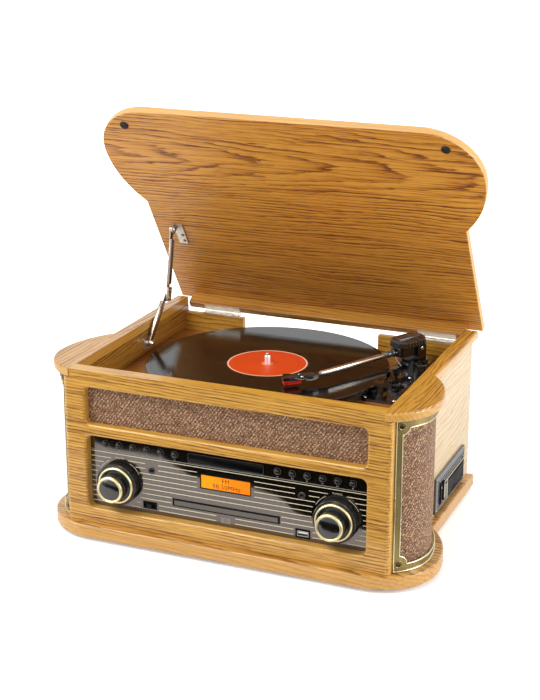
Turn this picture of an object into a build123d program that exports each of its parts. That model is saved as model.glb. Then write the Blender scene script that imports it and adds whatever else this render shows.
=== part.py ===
from build123d import *
import math
import os

os.makedirs("parts", exist_ok=True)

# A wooden table-top music centre: record deck under an open lid, with a radio, a disc
# drawer, a cassette slot and two round-cornered loudspeaker columns.
# Millimetres. X runs right, Y runs back, Z runs up. The sizes below are measured from a
# point on the table under the middle of the base board. The pieces are written out
# moved forward, so that the origin lies under the middle of the part as it stands open.
middle_shift = 10.75

# feet and base board
foot_height = 4.0
foot_radius = 11.0
foot_inset = 38.2
foot_y = 118.0
base_thick = 16.0
base_edge_round = 2.0
base_side_proud = 8.2
base_rear = 166.0
vent_slot_length = 60.0
vent_slot_width = 4.0
vent_pitch = 12.0
vent_count = 7

# lobed plan shape shared by base, caps, columns and lid
panel_half = 203.2
lobe_run = 30.2
lobe_offset = 57.0
lobe_y = -96.0
lobe_front_x = panel_half - lobe_run
lobe_rear_x = lobe_front_x - lobe_offset
column_front_radius = 59.0
column_rear_radius = column_front_radius + lobe_offset
cap_overhang = 7.0
cap_front_radius = column_front_radius + cap_overhang
cap_rear_radius = cap_front_radius + lobe_offset
base_overhang = 11.0
base_front_radius = column_front_radius + base_overhang
base_rear_radius = base_front_radius + lobe_offset

# wooden cabinet
base_top = foot_height + base_thick
panel_proud = 2.0
panel_front = lobe_y - column_front_radius - panel_proud
panel_thick = 18.0
panel_end_round = 6.0
panel_window_round = 3.0
cabinet_top = 213.0
cap_thick = 10.6
cap_edge_round = 2.5
cap_side = panel_half + 6.1
base_side = panel_half + base_side_proud
foot_x = panel_half - foot_inset
wall_thick = 10.0
wall_lip = 0.8
wall_inner = panel_half - wall_lip - wall_thick
cap_inner = wall_inner + 0.6
ear_inner = wall_inner + 2.1
rear_wall_front = 157.7
rear_wall_thick = 8.0
rear_wall_top = 194.0
rear_cut_left = -109.0
rear_cut_right = 80.0
rear_cut_floor = 171.0
rear_cut_round = 6.0
deck_top = 170.0
deck_thick = 12.0

# windows in the front panel
speaker_window_half = panel_half - 28.1
speaker_window_low = 145.7
speaker_window_high = 191.9
speaker_window_corner = 7.0
control_window_half = panel_half - 28.3
control_window_low = 39.9
control_window_high = 132.0
control_window_corner = 8.0
rebate_margin = 5.0
cloth_front = panel_front + 10.5
cloth_board_thick = 5.0

# control fascia
fascia_front = panel_front + 11.8
fascia_thick = 3.0
button_count = 6
button_z = 120.1
button_radius = 3.5
button_gap = 0.3
button_proud = 2.6
plate_half = 47.0
button_first = plate_half + 17.5
button_last = control_window_half - 19.55
button_pitch = (button_last - button_first) / (button_count - 1)
plate_low = 113.6
plate_high = 124.6
plate_sink = 0.8
display_half = 31.0
display_low = 84.6
display_high = 100.8
display_glass = 1.6
jack_x = plate_half + 47.5
jack_z = 95.4
jack_radius = 4.2
jack_bore = 1.8
usb_x = jack_x + 1.6
usb_z = 48.5
usb_width = 16.0
usb_height = 8.6
usb_mouth_width = 12.6
usb_mouth_height = 5.0
switch_x = -3.3 - jack_x
switch_z = 50.7
switch_slot_length = 15.5
switch_slot_height = 4.8
switch_knob = 6.0
knob_x = control_window_half - 37.9
knob_z = 74.0
board_front = fascia_front + 9.2
board_thick = 1.6

# rotary knobs, as radii and distances in front of the fascia
knob_collar_radius = 26.0
knob_collar_depth = 9.0
knob_ring_radius = 23.3
knob_ring_depth = 12.0
knob_cap_radius = 16.3
knob_cap_depth = 24.5
knob_dome = 1.8
knob_lift = 0.8
shaft_radius = 3.0

# disc drawer
drawer_half = 65.4
drawer_low = 57.0
drawer_high = 62.9
drawer_gap = 0.6
tray_half = 63.0
tray_length = 128.0
tray_thick = 4.0
disc_radius = 60.5
disc_sink = 1.5
rail_width = 6.0

# corner columns
grille_thick = 2.5
grille_stile = 8.6
grille_rail = 9.5
scallop_radius = 10.0
scallop_inset = 7.6
grille_screw_low = 29.9
grille_screw_high = 195.0
grille_hole = 2.0
cloth_sheet_thick = 1.2
driver_y = -84.0
driver_z = 111.0
driver_radius = 38.0
driver_hole = 33.0

# cassette bay in the right wall
bezel_front = 15.0
bezel_rear = 139.0
bezel_low = 22.7
bezel_high = 70.0
bezel_thick = 3.0
flap_front = 66.0
flap_rear = 136.0
flap_low = 26.5
flap_high = 47.2
flap_thick = 2.0
flap_gap = 0.4
key_width = 4.6
key_low = 32.5
key_high = 57.5
key_first = 29.6
key_pitch = 12.4
bay_inner = 88.0
bay_wall = 2.5

# turntable
spin_x = -19.2
spin_y = 26.8
bush_radius = 7.0
bush_flange = 14.0
bush_flange_thick = 2.0
spindle_radius = 3.6
spindle_top = 197.5
running_gap = 0.05
platter_radius = 98.0
platter_top = 181.0
platter_web = 3.0
platter_skirt = 3.0
platter_foot = 173.4
belt_ring = 60.0
belt_wall = 2.5
mat_thick = 2.0
mat_radius = 96.0
record_radius = 150.5
record_thick = 1.5
label_radius = 50.0
label_thick = 0.25
label_sink = 0.15
motor_angle = 218.0
motor_distance = 82.0
motor_radius = 17.0
motor_height = 24.0
pulley_radius = 6.0
belt_thick = 1.0
belt_width = 3.0
belt_gap = 0.3

# tonearm
arm_x = wall_inner - 52.4
arm_y = 124.0
arm_swing = 27.7
arm_z = 196.0
arm_pivot_z = 198.0
arm_plate_width = 46.0
arm_plate_right = wall_inner - 29.4
arm_plate_left = arm_plate_right - arm_plate_width
arm_plate_front = -18.0
arm_plate_rear = 156.0
arm_plate_thick = 3.0
arm_boss_radius = 21.0
arm_boss_top = 178.0
arm_shaft = 4.0
turret_radius = 17.0
turret_disc = 5.0
ear_offset = 10.0
ear_thick = 3.0
ear_half = 7.0
ear_top = 201.5
pivot_pin = 2.0
head_width = 31.0
head_back = -11.0
head_front = 36.0
head_low = arm_z + 7.0
head_high = head_low + 8.5
head_chamfer = 8.0
tube_radius = 2.9
tube_end = 158.0
shell_end = 206.0
shell_width = 15.0
shell_tip_width = 10.0
shell_low = arm_z - 2.8
shell_high = shell_low + 3.4
shell_offset = 20.0
cartridge_low = shell_low - 6.2
cartridge_length = 19.0
stylus_low = cartridge_low - 1.8

# arm rest, levers
post_x = arm_x - 2.0
post_y = -6.0
post_radius = 4.6
post_foot = 9.0
post_top = 191.6
clip_x = post_x + 10.0
clip_z = 194.0
clip_open = 70.0
clip_rise = 6.5
clip_reach = 12.0
clip_strip = 1.4
cue_x = arm_x + 12.0
cue_y = 96.0
speed_x = arm_x - 6.0
speed_y = 58.0
stop_x = arm_x + 10.0
stop_y = 34.0
lever_pin = 2.5

# lid and its hardware, drawn closed
lid_angle = 57.0
hinge_y = 168.8
hinge_z = 196.0
lid_low = 215.0
lid_thick = 12.0
lid_edge_round = 3.5
lid_rear = 168.0
lid_side = panel_half + 7.4
lid_shift = -2.0
batten_front = 158.0
batten_low = 197.5
batten_half = wall_inner - 1.4
bumper_x = panel_half - 1.2
bumper_y = -145.0
bumper_radius = 5.5
bumper_thick = 1.85
hinge_length = 51.0
hinge_left = 24.4 - wall_inner
hinge_right = wall_inner - 11.4 - hinge_length
hinge_leaf = 1.4
barrel_radius = 2.3
hinge_pin = 1.2
knuckle_count = 5
knuckle_gap = 0.4

# folding lid stay on the left wall
stay_y = 38.0
stay_z = 186.0
stay_lid_y = 28.0
stay_lid_z = 209.0
lower_length = 72.0
lower_angle = 47.04
upper_length = 84.0
upper_angle = 79.05
stay_width = 8.0
stay_strip = 2.0
lower_x = 4.8 - wall_inner
upper_x = lower_x + stay_strip + 0.3
stay_stud = 2.0
stay_head = 3.6


def save(name, shape):
    """Writes one named piece of the assembly in its place."""
    placed = Pos(0, -middle_shift, 0) * shape
    placed.label = name
    export_step(placed, "parts/" + name + ".step")


def block(x0, x1, y0, y1, z0, z1):
    """Box between two opposite corners."""
    centre = Pos((x0 + x1) / 2, (y0 + y1) / 2, (z0 + z1) / 2)
    return centre * Box(abs(x1 - x0), abs(y1 - y0), abs(z1 - z0))


def rect(x0, x1, y0, y1, corner=0.0):
    """Flat rectangle between two opposite corners, with rounded corners if asked."""
    centre = Pos((x0 + x1) / 2, (y0 + y1) / 2)
    if corner > 0:
        return centre * RectangleRounded(x1 - x0, y1 - y0, corner)
    return centre * Rectangle(x1 - x0, y1 - y0)


def from_front(sketch, y, depth):
    """Solid from a sketch seen from the front, starting at y and running back."""
    plane = Plane(origin=(0, y, 0), x_dir=(1, 0, 0), z_dir=(0, -1, 0))
    return extrude(plane * sketch, amount=-depth)


def from_right(sketch, x, depth):
    """Solid from a sketch seen from the right, starting at x and running right."""
    plane = Plane(origin=(x, 0, 0), x_dir=(0, 1, 0), z_dir=(1, 0, 0))
    return extrude(plane * sketch, amount=depth)


def from_top(sketch, z, height):
    """Solid from a plan sketch, starting at z and running up."""
    return extrude(Pos(0, 0, z) * sketch, amount=height)


def rod_y(x, z, radius, y0, y1):
    """Round bar along Y."""
    return from_front(Pos(x, z) * Circle(radius), y0, y1 - y0)


def rod_x(y, z, radius, x0, x1):
    """Round bar along X."""
    return from_right(Pos(y, z) * Circle(radius), x0, x1 - x0)


def rod_z(x, y, radius, z0, z1):
    """Round bar along Z."""
    return from_top(Pos(x, y) * Circle(radius), z0, z1 - z0)


def both_sides(shape):
    """The piece and its mirror image across the middle of the cabinet."""
    return Part() + [shape, mirror(shape, about=Plane.YZ)]


def lobe_points(front_radius, rear_radius, side, shift):
    """Corner and middle points of the two arcs that make a right-hand lobe."""
    cy = lobe_y + shift
    half = math.sqrt(0.5)
    rear_end = math.asin(math.sqrt(rear_radius ** 2 - (side - lobe_rear_x) ** 2) / rear_radius)
    front_mid = (lobe_front_x + front_radius * half, cy - front_radius * half)
    widest = (lobe_front_x + front_radius, cy)
    rear_mid = (
        lobe_rear_x + rear_radius * math.cos(rear_end / 2),
        cy + rear_radius * math.sin(rear_end / 2),
    )
    rear_point = (side, cy + rear_radius * math.sin(rear_end))
    return cy, front_mid, widest, rear_mid, rear_point


def lobed_board(front_radius, rear_radius, side, rear, shift=0.0):
    """Plan of a board with straight sides and a rounded lobe at each front corner."""
    cy, front_mid, widest, rear_mid, rear_point = lobe_points(
        front_radius, rear_radius, side, shift
    )
    start = (lobe_front_x, cy - front_radius)
    with BuildSketch() as plan:
        with BuildLine():
            Line((0, cy - front_radius), start)
            ThreePointArc(start, front_mid, widest)
            ThreePointArc(widest, rear_mid, rear_point)
            Line(rear_point, (side, rear))
            Line((side, rear), (0, rear))
            mirror(about=Plane.YZ)
        make_face()
    return plan.sketch


def lobe_bulge(front_radius, rear_radius, inner):
    """Plan of only the bulge that a lobe makes outside the line x = inner."""
    run = inner - lobe_front_x
    first = (inner, lobe_y - math.sqrt(front_radius ** 2 - run ** 2))
    turn = (math.atan2(first[1] - lobe_y, run)) / 2
    front_mid = (
        lobe_front_x + front_radius * math.cos(turn),
        lobe_y + front_radius * math.sin(turn),
    )
    rear_arc = lobe_points(front_radius, rear_radius, inner, 0.0)
    widest, rear_mid, rear_point = rear_arc[2:]
    with BuildSketch() as plan:
        with BuildLine():
            ThreePointArc(first, front_mid, widest)
            ThreePointArc(widest, rear_mid, rear_point)
            Line(rear_point, first)
        make_face()
    return plan.sketch


# base board and feet
base_plan = lobed_board(base_front_radius, base_rear_radius, base_side, base_rear)
base_board = from_top(base_plan, foot_height, base_thick)
base_board = fillet(base_board.faces().sort_by(Axis.Z)[-1].edges(), base_edge_round)
base_board = fillet(base_board.faces().sort_by(Axis.Z)[0].edges(), base_edge_round)
vent_row = [
    Pos(0, (i - (vent_count - 1) / 2) * vent_pitch) * SlotOverall(vent_slot_length, vent_slot_width)
    for i in range(vent_count)
]
base_board -= from_top(Sketch() + vent_row, foot_height, base_thick)
save("base_board", base_board)

foot_profile = make_face(
    Polyline(
        (0, 0),
        (foot_radius - 1.5, 0),
        (foot_radius, foot_height),
        (0, foot_height),
        close=True,
    )
)
foot = revolve(Plane.XZ * foot_profile, axis=Axis.Z)
foot -= rod_z(0, 0, 2.2, 0, 1.6)
foot_pair = [Pos(foot_x, y, 0) * foot for y in (-foot_y, foot_y)]
save("rubber_feet", both_sides(Part() + foot_pair))

# front panel: ears at the upper corners carry the caps
ear_top_z = cabinet_top - cap_thick
panel_face = rect(-panel_half, panel_half, base_top, ear_top_z)
panel_face += rect(-ear_inner, ear_inner, base_top, cabinet_top)
speaker_window = rect(
    -speaker_window_half,
    speaker_window_half,
    speaker_window_low,
    speaker_window_high,
    speaker_window_corner,
)
control_window = rect(
    -control_window_half,
    control_window_half,
    control_window_low,
    control_window_high,
    control_window_corner,
)
front_panel = from_front(panel_face, panel_front, panel_thick)
panel_back = panel_front + panel_thick
end_edges = front_panel.edges().filter_by(Axis.Z)
end_edges = [e for e in end_edges if e.center().Y < panel_front + 1 and abs(e.center().X) > ear_inner + 1]
front_panel = fillet(end_edges, panel_end_round)
front_panel -= from_front(speaker_window + control_window, panel_front, panel_thick)
window_edges = [
    e
    for e in front_panel.faces().sort_by(Axis.Y)[0].edges()
    if abs(e.center().X) < speaker_window_half + 1
    and base_top + 5 < e.center().Z < cabinet_top - 5
]
front_panel = fillet(window_edges, panel_window_round)
control_rebate = rect(
    -control_window_half - rebate_margin,
    control_window_half + rebate_margin,
    control_window_low - rebate_margin,
    control_window_high + rebate_margin,
)
speaker_rebate = rect(
    -speaker_window_half - rebate_margin,
    speaker_window_half + rebate_margin,
    speaker_window_low - rebate_margin,
    speaker_window_high + rebate_margin,
)
front_panel -= from_front(control_rebate, fascia_front, panel_back - fascia_front)
front_panel -= from_front(speaker_rebate, cloth_front, panel_back - cloth_front)
save("front_panel", front_panel)

# side walls, with a round hole for each loudspeaker and a bay for the cassette
wall_outer = wall_inner + wall_thick
right_wall = block(wall_inner, wall_outer, panel_back, base_rear, base_top, ear_top_z)
right_wall -= rod_x(driver_y, driver_z, driver_hole, wall_inner, wall_outer)
left_wall = mirror(right_wall, about=Plane.YZ)
bay_hole = rect(bezel_front + 8, bezel_rear - 1, base_top, bezel_high - 6)
right_wall -= from_right(bay_hole, wall_inner, wall_thick)
save("side_walls", Part() + [left_wall, right_wall])

# rear wall, cut down where the record stands out over the back
rear_face = rect(-wall_inner, wall_inner, base_top, rear_wall_top)
rear_wall = from_front(rear_face, rear_wall_front, rear_wall_thick)
rear_cut = rect(rear_cut_left, rear_cut_right, rear_cut_floor, rear_wall_top + 20, rear_cut_round)
rear_wall -= from_front(rear_cut, rear_wall_front, rear_wall_thick)
rear_vents = [
    Pos(0, 70 + i * vent_pitch) * SlotOverall(vent_slot_length * 1.5, vent_slot_width)
    for i in range(5)
]
rear_wall -= from_front(Sketch() + rear_vents, rear_wall_front, rear_wall_thick)
inlet_x = -150.0
inlet_z = 48.0
inlet_width = 24.0
inlet_height = 16.0
inlet_face = rect(
    inlet_x - inlet_width / 2,
    inlet_x + inlet_width / 2,
    inlet_z - inlet_height / 2,
    inlet_z + inlet_height / 2,
    3.0,
)
rear_wall -= from_front(inlet_face, rear_wall_front, rear_wall_thick)
save("rear_wall", rear_wall)

# cap boards along the top of the side walls
cap_plan = lobed_board(cap_front_radius, cap_rear_radius, cap_side, base_rear)
cap_plan &= rect(cap_inner, cap_side + 60, -300, 300)
cap_plan -= rect(0, ear_inner, -300, panel_back)
cap = from_top(cap_plan, ear_top_z, cap_thick)
cap_outer_edges = [
    e
    for e in cap.faces().sort_by(Axis.Z)[-1].edges() + cap.faces().sort_by(Axis.Z)[0].edges()
    if e.center().X > cap_side - 1
]
cap = fillet(cap_outer_edges, cap_edge_round)
save("side_caps", both_sides(cap))

# deck board inside the cabinet
deck = block(-wall_inner, wall_inner, panel_back, rear_wall_front, deck_top - deck_thick, deck_top)
motor_x = spin_x + motor_distance * math.cos(math.radians(motor_angle))
motor_y = spin_y + motor_distance * math.sin(math.radians(motor_angle))
deck -= rod_z(spin_x, spin_y, bush_radius, deck_top - deck_thick, deck_top)
deck -= rod_z(motor_x, motor_y, pulley_radius + 4, deck_top - deck_thick, deck_top)
deck -= rod_z(arm_x, arm_y, 9.0, deck_top - deck_thick, deck_top)
save("deck_board", deck)

# corner columns: pressed metal frame with scalloped corners over a cloth sheet
column_plan = lobe_bulge(column_front_radius, column_rear_radius, wall_outer)
frame_plan = column_plan - lobe_bulge(
    column_front_radius - grille_thick, column_rear_radius - grille_thick, wall_outer - 0.01
)
frame_plan -= rect(0, panel_half, -300, panel_back)
cloth_gap = 0.1
cloth_outer = grille_thick + cloth_gap
cloth_inner = cloth_outer + cloth_sheet_thick
sheet_plan = lobe_bulge(
    column_front_radius - cloth_outer, column_rear_radius - cloth_outer, wall_outer
)
sheet_plan -= lobe_bulge(
    column_front_radius - cloth_inner, column_rear_radius - cloth_inner, wall_outer - 0.01
)
sheet_plan -= rect(0, panel_half, -300, panel_back)
column_height = ear_top_z - base_top
run_in = panel_half - lobe_front_x
front_edge_angle = -math.acos(run_in / column_front_radius)
rear_edge_angle = math.acos((wall_outer - lobe_rear_x) / column_rear_radius)
front_stile_angle = front_edge_angle + grille_stile / column_front_radius
rear_stile_angle = rear_edge_angle - grille_stile / column_rear_radius


def on_front_arc(angle, radius):
    """Point round the front arc's centre."""
    return (lobe_front_x + radius * math.cos(angle), lobe_y + radius * math.sin(angle))


def on_rear_arc(angle, radius):
    """Point round the rear arc's centre."""
    return (lobe_rear_x + radius * math.cos(angle), lobe_y + radius * math.sin(angle))


open_plan = make_face(
    Polyline(
        on_front_arc(front_stile_angle, column_front_radius - 15),
        on_front_arc(front_stile_angle, column_front_radius + 30),
        (300, on_front_arc(front_stile_angle, column_front_radius + 30)[1]),
        (300, on_rear_arc(rear_stile_angle, column_rear_radius + 30)[1]),
        on_rear_arc(rear_stile_angle, column_rear_radius + 30),
        on_rear_arc(rear_stile_angle, column_rear_radius - 15),
        close=True,
    )
)
frame_shell = from_top(frame_plan, base_top, column_height)
frame = frame_shell - from_top(open_plan, base_top + grille_rail, column_height - 2 * grille_rail)
front_screw_angle = front_edge_angle + scallop_inset / column_front_radius
rear_screw_angle = rear_edge_angle - scallop_inset / column_rear_radius


def outward_bar(centre_x, angle, radius, reach_from, reach_to, z):
    """Round bar that runs straight out through the column's surface."""
    axis_out = Vector(math.cos(angle), math.sin(angle), 0)
    start = Vector(centre_x, lobe_y, z) + axis_out * reach_from
    plane = Plane(origin=start, z_dir=axis_out)
    return extrude(plane * Circle(radius), amount=reach_to - reach_from)


screw_spots = [
    (lobe_front_x, front_screw_angle, column_front_radius),
    (lobe_rear_x, rear_screw_angle, column_rear_radius),
]
for centre_x, angle, radius in screw_spots:
    for z in (grille_screw_low, grille_screw_high):
        disc = outward_bar(centre_x, angle, scallop_radius, radius - 8, radius + 4, z)
        frame += frame_shell & disc
for centre_x, angle, radius in screw_spots:
    for z in (grille_screw_low, grille_screw_high):
        frame -= outward_bar(centre_x, angle, grille_hole, radius - 8, radius + 4, z)
save("corner_grilles", both_sides(frame))

# cloth: a covered board behind the upper window and a curved sheet in each column
cloth_sheet = both_sides(from_top(sheet_plan, base_top, column_height))
cloth_board = from_front(speaker_rebate, cloth_front, cloth_board_thick)
save("speaker_cloths", Part() + [cloth_sheet, cloth_board])

# loudspeaker driver behind each column, turned about its own axis
cone_depth = 13.0
magnet_depth = 32.0
driver_profile = make_face(
    Polyline(
        (0, -magnet_depth),
        (20, -magnet_depth),
        (20, -magnet_depth + 11),
        (16, -magnet_depth + 11),
        (driver_hole - 2, -4),
        (driver_hole - 0.5, 0),
        (driver_radius, 0),
        (driver_radius, 3),
        (driver_hole + 1, 3),
        (driver_hole - 3, 4.5),
        (driver_hole - 6, 2),
        (11, -cone_depth),
        (6, -cone_depth + 3),
        (0, -cone_depth + 4.5),
        close=True,
    )
)
driver = revolve(Plane.XZ * driver_profile, axis=Axis.Z)
driver_plane = Plane(origin=(wall_outer, driver_y, driver_z), x_dir=(0, 1, 0), z_dir=(1, 0, 0))
save("speaker_drivers", both_sides(driver_plane * driver))

# control fascia with its openings
fascia = from_front(control_rebate, fascia_front, fascia_thick)
button_spots = [side * (button_first + i * button_pitch) for side in (-1, 1) for i in range(button_count)]
fascia_cuts = [Pos(x, button_z) * Circle(button_radius + button_gap) for x in button_spots]
fascia_cuts += [Pos(x, jack_z) * Circle(jack_radius) for x in (-jack_x, jack_x)]
fascia_cuts += [Pos(x, knob_z) * Circle(shaft_radius + 1.5) for x in (-knob_x, knob_x)]
fascia_cuts += [
    rect(-display_half, display_half, display_low, display_high),
    rect(
        -drawer_half - drawer_gap,
        drawer_half + drawer_gap,
        drawer_low - drawer_gap,
        drawer_high + drawer_gap,
        0.8,
    ),
    Pos(usb_x, usb_z) * Rectangle(usb_width, usb_height),
    Pos(switch_x, switch_z) * Rectangle(switch_slot_length, switch_slot_height),
]
fascia -= from_front(Sketch() + fascia_cuts, fascia_front, fascia_thick)
plate_face = rect(-plate_half, plate_half, plate_low, plate_high, 1.0)
fascia -= from_front(plate_face, fascia_front, plate_sink)
standoff_outer = control_window_half - 4.9
standoff_inner = display_half + 9.0
standoff_radius = 3.0
standoff_low = control_window_low + 1.1
standoff_high = display_high + 7.2
for x in (-standoff_outer, -standoff_inner, standoff_inner, standoff_outer):
    for z in (standoff_low, standoff_high):
        fascia += rod_y(x, z, standoff_radius, fascia_front + fascia_thick, board_front)
save("fascia_panel", fascia)

display = from_front(
    rect(-display_half, display_half, display_low, display_high), fascia_front + 0.6, display_glass
)
save("display_window", display)

# front circuit board: pots for the knobs, switches behind the buttons, display module
board_half = control_window_half + 1.1
board_low = control_window_low - 2.9
board_face = rect(-board_half, board_half, board_low, control_window_high + 2.0)
notch_half = drawer_half + 12.6
board_face -= rect(-notch_half, notch_half, board_low - 3, drawer_high + 7.1)
board_face -= rect(switch_x - 12, switch_x + 12, board_low - 3, switch_z + 9.3)
board = from_front(board_face, board_front, board_thick)
board += block(
    -display_half + 0.5,
    display_half - 0.5,
    fascia_front + 0.6 + display_glass,
    board_front,
    display_low + 0.5,
    display_high - 0.5,
)
for x in button_spots:
    board += block(x - 3, x + 3, board_front - 0.6, board_front, button_z - 3, button_z + 3)
for x in (-knob_x, knob_x):
    board += rod_y(x, knob_z, 8.0, board_front, board_front + 12)
    board += rod_y(x, knob_z, shaft_radius + 1.4, board_front - 5, board_front)
    board -= rod_y(x, knob_z, shaft_radius + running_gap, board_front - 5, board_front + 8)

# mains transformer standing at the left rear of the base
core_x = -143.0
core_y = 104.0
core_width = 50.0
core_depth = 24.0
core_height = 42.0
winding_width = 36.0
winding_depth = 40.0
winding_low = base_top + 7.0
winding_height = 28.0
strap_length = 70.0
strap_width = 16.0
strap_thick = 2.0
strap_hole = 2.0
on_core = Pos(core_x, core_y, 0)
transformer = on_core * from_top(Rectangle(core_width, core_depth), base_top, core_height)
transformer += on_core * from_top(
    Rectangle(winding_width, winding_depth), winding_low, winding_height
)
transformer += on_core * from_top(Rectangle(strap_length, strap_width), base_top, strap_thick)
for side in (-1, 1):
    hole_x = core_x + side * (strap_length / 2 - 5.0)
    transformer -= rod_z(hole_x, core_y, strap_hole, base_top, base_top + strap_thick)
save("board_and_transformer", Part() + [board, transformer])

# sockets: two round jacks and a data socket in front, mains inlet at the rear
socket_parts = []
for x in (-jack_x, jack_x):
    jack = rod_y(x, jack_z, jack_radius, fascia_front - 0.5, board_front)
    socket_parts.append(jack - rod_y(x, jack_z, jack_bore, fascia_front - 0.5, board_front - 1))
usb_front = fascia_front - 0.4
usb_face = Pos(usb_x, usb_z) * Rectangle(usb_width, usb_height)
usb_shell = from_front(usb_face, usb_front, board_front - usb_front)
usb_mouth = Pos(usb_x, usb_z) * Rectangle(usb_mouth_width, usb_mouth_height)
usb_shell -= from_front(usb_mouth, usb_front, 8.0)
socket_parts.append(usb_shell)
inlet = from_front(inlet_face, rear_wall_front - 14, rear_wall_thick + 14)
inlet_mouth = Pos(inlet_x, inlet_z) * SlotOverall(15, 8)
inlet -= from_front(inlet_mouth, rear_wall_front - 4, rear_wall_thick + 4)
for x in (-3.5, 3.5):
    inlet += rod_y(inlet_x + x, inlet_z, 1.1, rear_wall_front - 4, rear_wall_front + rear_wall_thick - 1.5)
socket_parts.append(inlet)
save("sockets", Part() + socket_parts)

# push buttons
side_names = ("left", "right")
button_profile = make_face(
    Polyline(
        (0, -button_proud - 0.6),
        (button_radius - 1.0, -button_proud - 0.3),
        (button_radius, -button_proud + 0.6),
        (button_radius, fascia_thick + 0.3),
        (button_radius + 1.2, fascia_thick + 0.3),
        (button_radius + 1.2, fascia_thick + 1.3),
        (1.5, fascia_thick + 1.3),
        (1.5, board_front - fascia_front - 2.2),
        (0, board_front - fascia_front - 2.2),
        close=True,
    )
)
button = revolve(Plane.XZ * button_profile, axis=Axis.Z)
for side in (0, 1):
    for i in range(button_count):
        x = (2 * side - 1) * (button_first + i * button_pitch)
        spot = Plane(origin=(x, fascia_front, button_z), x_dir=(1, 0, 0), z_dir=(0, 1, 0))
        save("button_" + side_names[side] + "_" + str(i + 1), spot * button)

# rotary knobs: knurled collar, bright ring, second tier with a domed cap
knurl_count = 48
knurl_radius = 0.9
knob_profile = make_face(
    Polyline(
        (0, -knob_cap_depth - knob_dome),
        (knob_cap_radius * 0.55, -knob_cap_depth - knob_dome * 0.75),
        (knob_cap_radius - 1.4, -knob_cap_depth),
        (knob_cap_radius, -knob_cap_depth + 1.4),
        (knob_cap_radius, -knob_ring_depth - 0.6),
        (knob_ring_radius - 2.0, -knob_ring_depth),
        (knob_ring_radius, -knob_ring_depth + 1.2),
        (knob_ring_radius + 0.4, -knob_collar_depth),
        (knob_collar_radius - 0.6, -knob_collar_depth + 0.8),
        (knob_collar_radius, -knob_lift - 1.0),
        (knob_collar_radius - 0.8, -knob_lift),
        (shaft_radius, -knob_lift),
        (shaft_radius, board_front - fascia_front + 6),
        (0, board_front - fascia_front + 6),
        close=True,
    )
)
knob = revolve(Plane.XZ * knob_profile, axis=Axis.Z)
flute = Pos(knob_collar_radius + 0.25, 0, -knob_collar_depth) * Cylinder(
    knurl_radius, 2 * knob_collar_depth, align=(Align.CENTER, Align.CENTER, Align.MIN)
)
flutes = PolarLocations(0, knurl_count) * flute
knob -= flutes
for side in (0, 1):
    x = (2 * side - 1) * knob_x
    spot = Plane(origin=(x, fascia_front, knob_z), x_dir=(1, 0, 0), z_dir=(0, 1, 0))
    save(("volume_knob", "tuning_knob")[side], spot * knob)

# slide switch for the sound source
slider = block(
    switch_x - switch_knob / 2,
    switch_x + switch_knob / 2,
    fascia_front - 2.6,
    fascia_front + fascia_thick + 0.3,
    switch_z - 2.0,
    switch_z + 2.0,
)
slider += block(
    switch_x - 8, switch_x + 8, fascia_front + fascia_thick + 0.3, fascia_front + fascia_thick + 1.5,
    switch_z - 4.5, switch_z + 4.5
)
for i in (-1, 0, 1):
    slider -= block(
        switch_x + i * 1.7 - 0.3,
        switch_x + i * 1.7 + 0.3,
        fascia_front - 2.6,
        fascia_front - 2.0,
        switch_z - 2.0,
        switch_z + 2.0,
    )
save("function_switch", slider)

# disc drawer and the mechanism it runs in
tray_low = drawer_low + 0.7
tray_high = tray_low + tray_thick
drawer = block(-drawer_half, drawer_half, fascia_front - 0.8, fascia_front + 3.2, drawer_low, drawer_high)
tray_back = fascia_front + tray_length
drawer += from_top(rect(-tray_half, tray_half, fascia_front + 3.2, tray_back, 0.0), tray_low, tray_thick)
disc_y = fascia_front + 4 + disc_radius
drawer -= rod_z(0, disc_y, disc_radius, tray_high - disc_sink, tray_high + 3)
drawer -= from_top(
    Pos(0, disc_y + 22) * Rot(0, 0, 90) * SlotOverall(70, 34), tray_low, tray_thick
)
save("cd_drawer", drawer)

chassis_back = tray_back + 14
chassis_front = board_front + board_thick + 1
rail_inner = tray_half + drawer_gap
chassis = block(-rail_inner - rail_width, rail_inner + rail_width, chassis_front, chassis_back, 38, 41)
for side in (-1, 1):
    chassis += block(
        side * rail_inner,
        side * (rail_inner + rail_width),
        chassis_front,
        chassis_back,
        41,
        tray_high + 1.2,
    )
    for y in (chassis_front + 12, chassis_back - 12):
        chassis += rod_z(side * (rail_inner - 4), y, 4.0, base_top, 38)
chassis += block(
    -rail_inner - rail_width, rail_inner + rail_width, -66, -44, tray_high + 1.2, tray_high + 3.7
)
chassis += rod_z(0, -55, 18, tray_high + 3.7, tray_high + 6.7)
chassis += block(-30, 30, -100, -30, 41, tray_low - 2.5)
save("cd_mechanism", chassis)

# cassette bay: bezel on the right wall, hollow mechanism, flap and two keys
bezel = from_right(rect(bezel_front, bezel_rear, bezel_low, bezel_high, 2.0), wall_outer, bezel_thick)
flap_hole = rect(flap_front - flap_gap, flap_rear + flap_gap, flap_low - flap_gap, flap_high + flap_gap)
bezel -= from_right(flap_hole, wall_outer, bezel_thick)
key_spots = [key_first + i * key_pitch for i in range(2)]
for y in key_spots:
    key_hole = rect(y - flap_gap, y + key_width + flap_gap, key_low - flap_gap, key_high + flap_gap)
    bezel -= from_right(key_hole, wall_outer, bezel_thick)
band = rect(bezel_front + 38, bezel_rear - 6, 52.5, 57.0, 1.0)
bezel -= from_right(band, wall_outer + bezel_thick - 0.8, 0.8)
bezel = fillet(bezel.faces().sort_by(Axis.X)[-1].outer_wire().edges(), 1.0)
flap_axis_x = wall_outer + bezel_thick - 1.4
flap_axis_z = flap_high - 1.4
flap_pin = 0.9
pin_reach = 1.6
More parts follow.
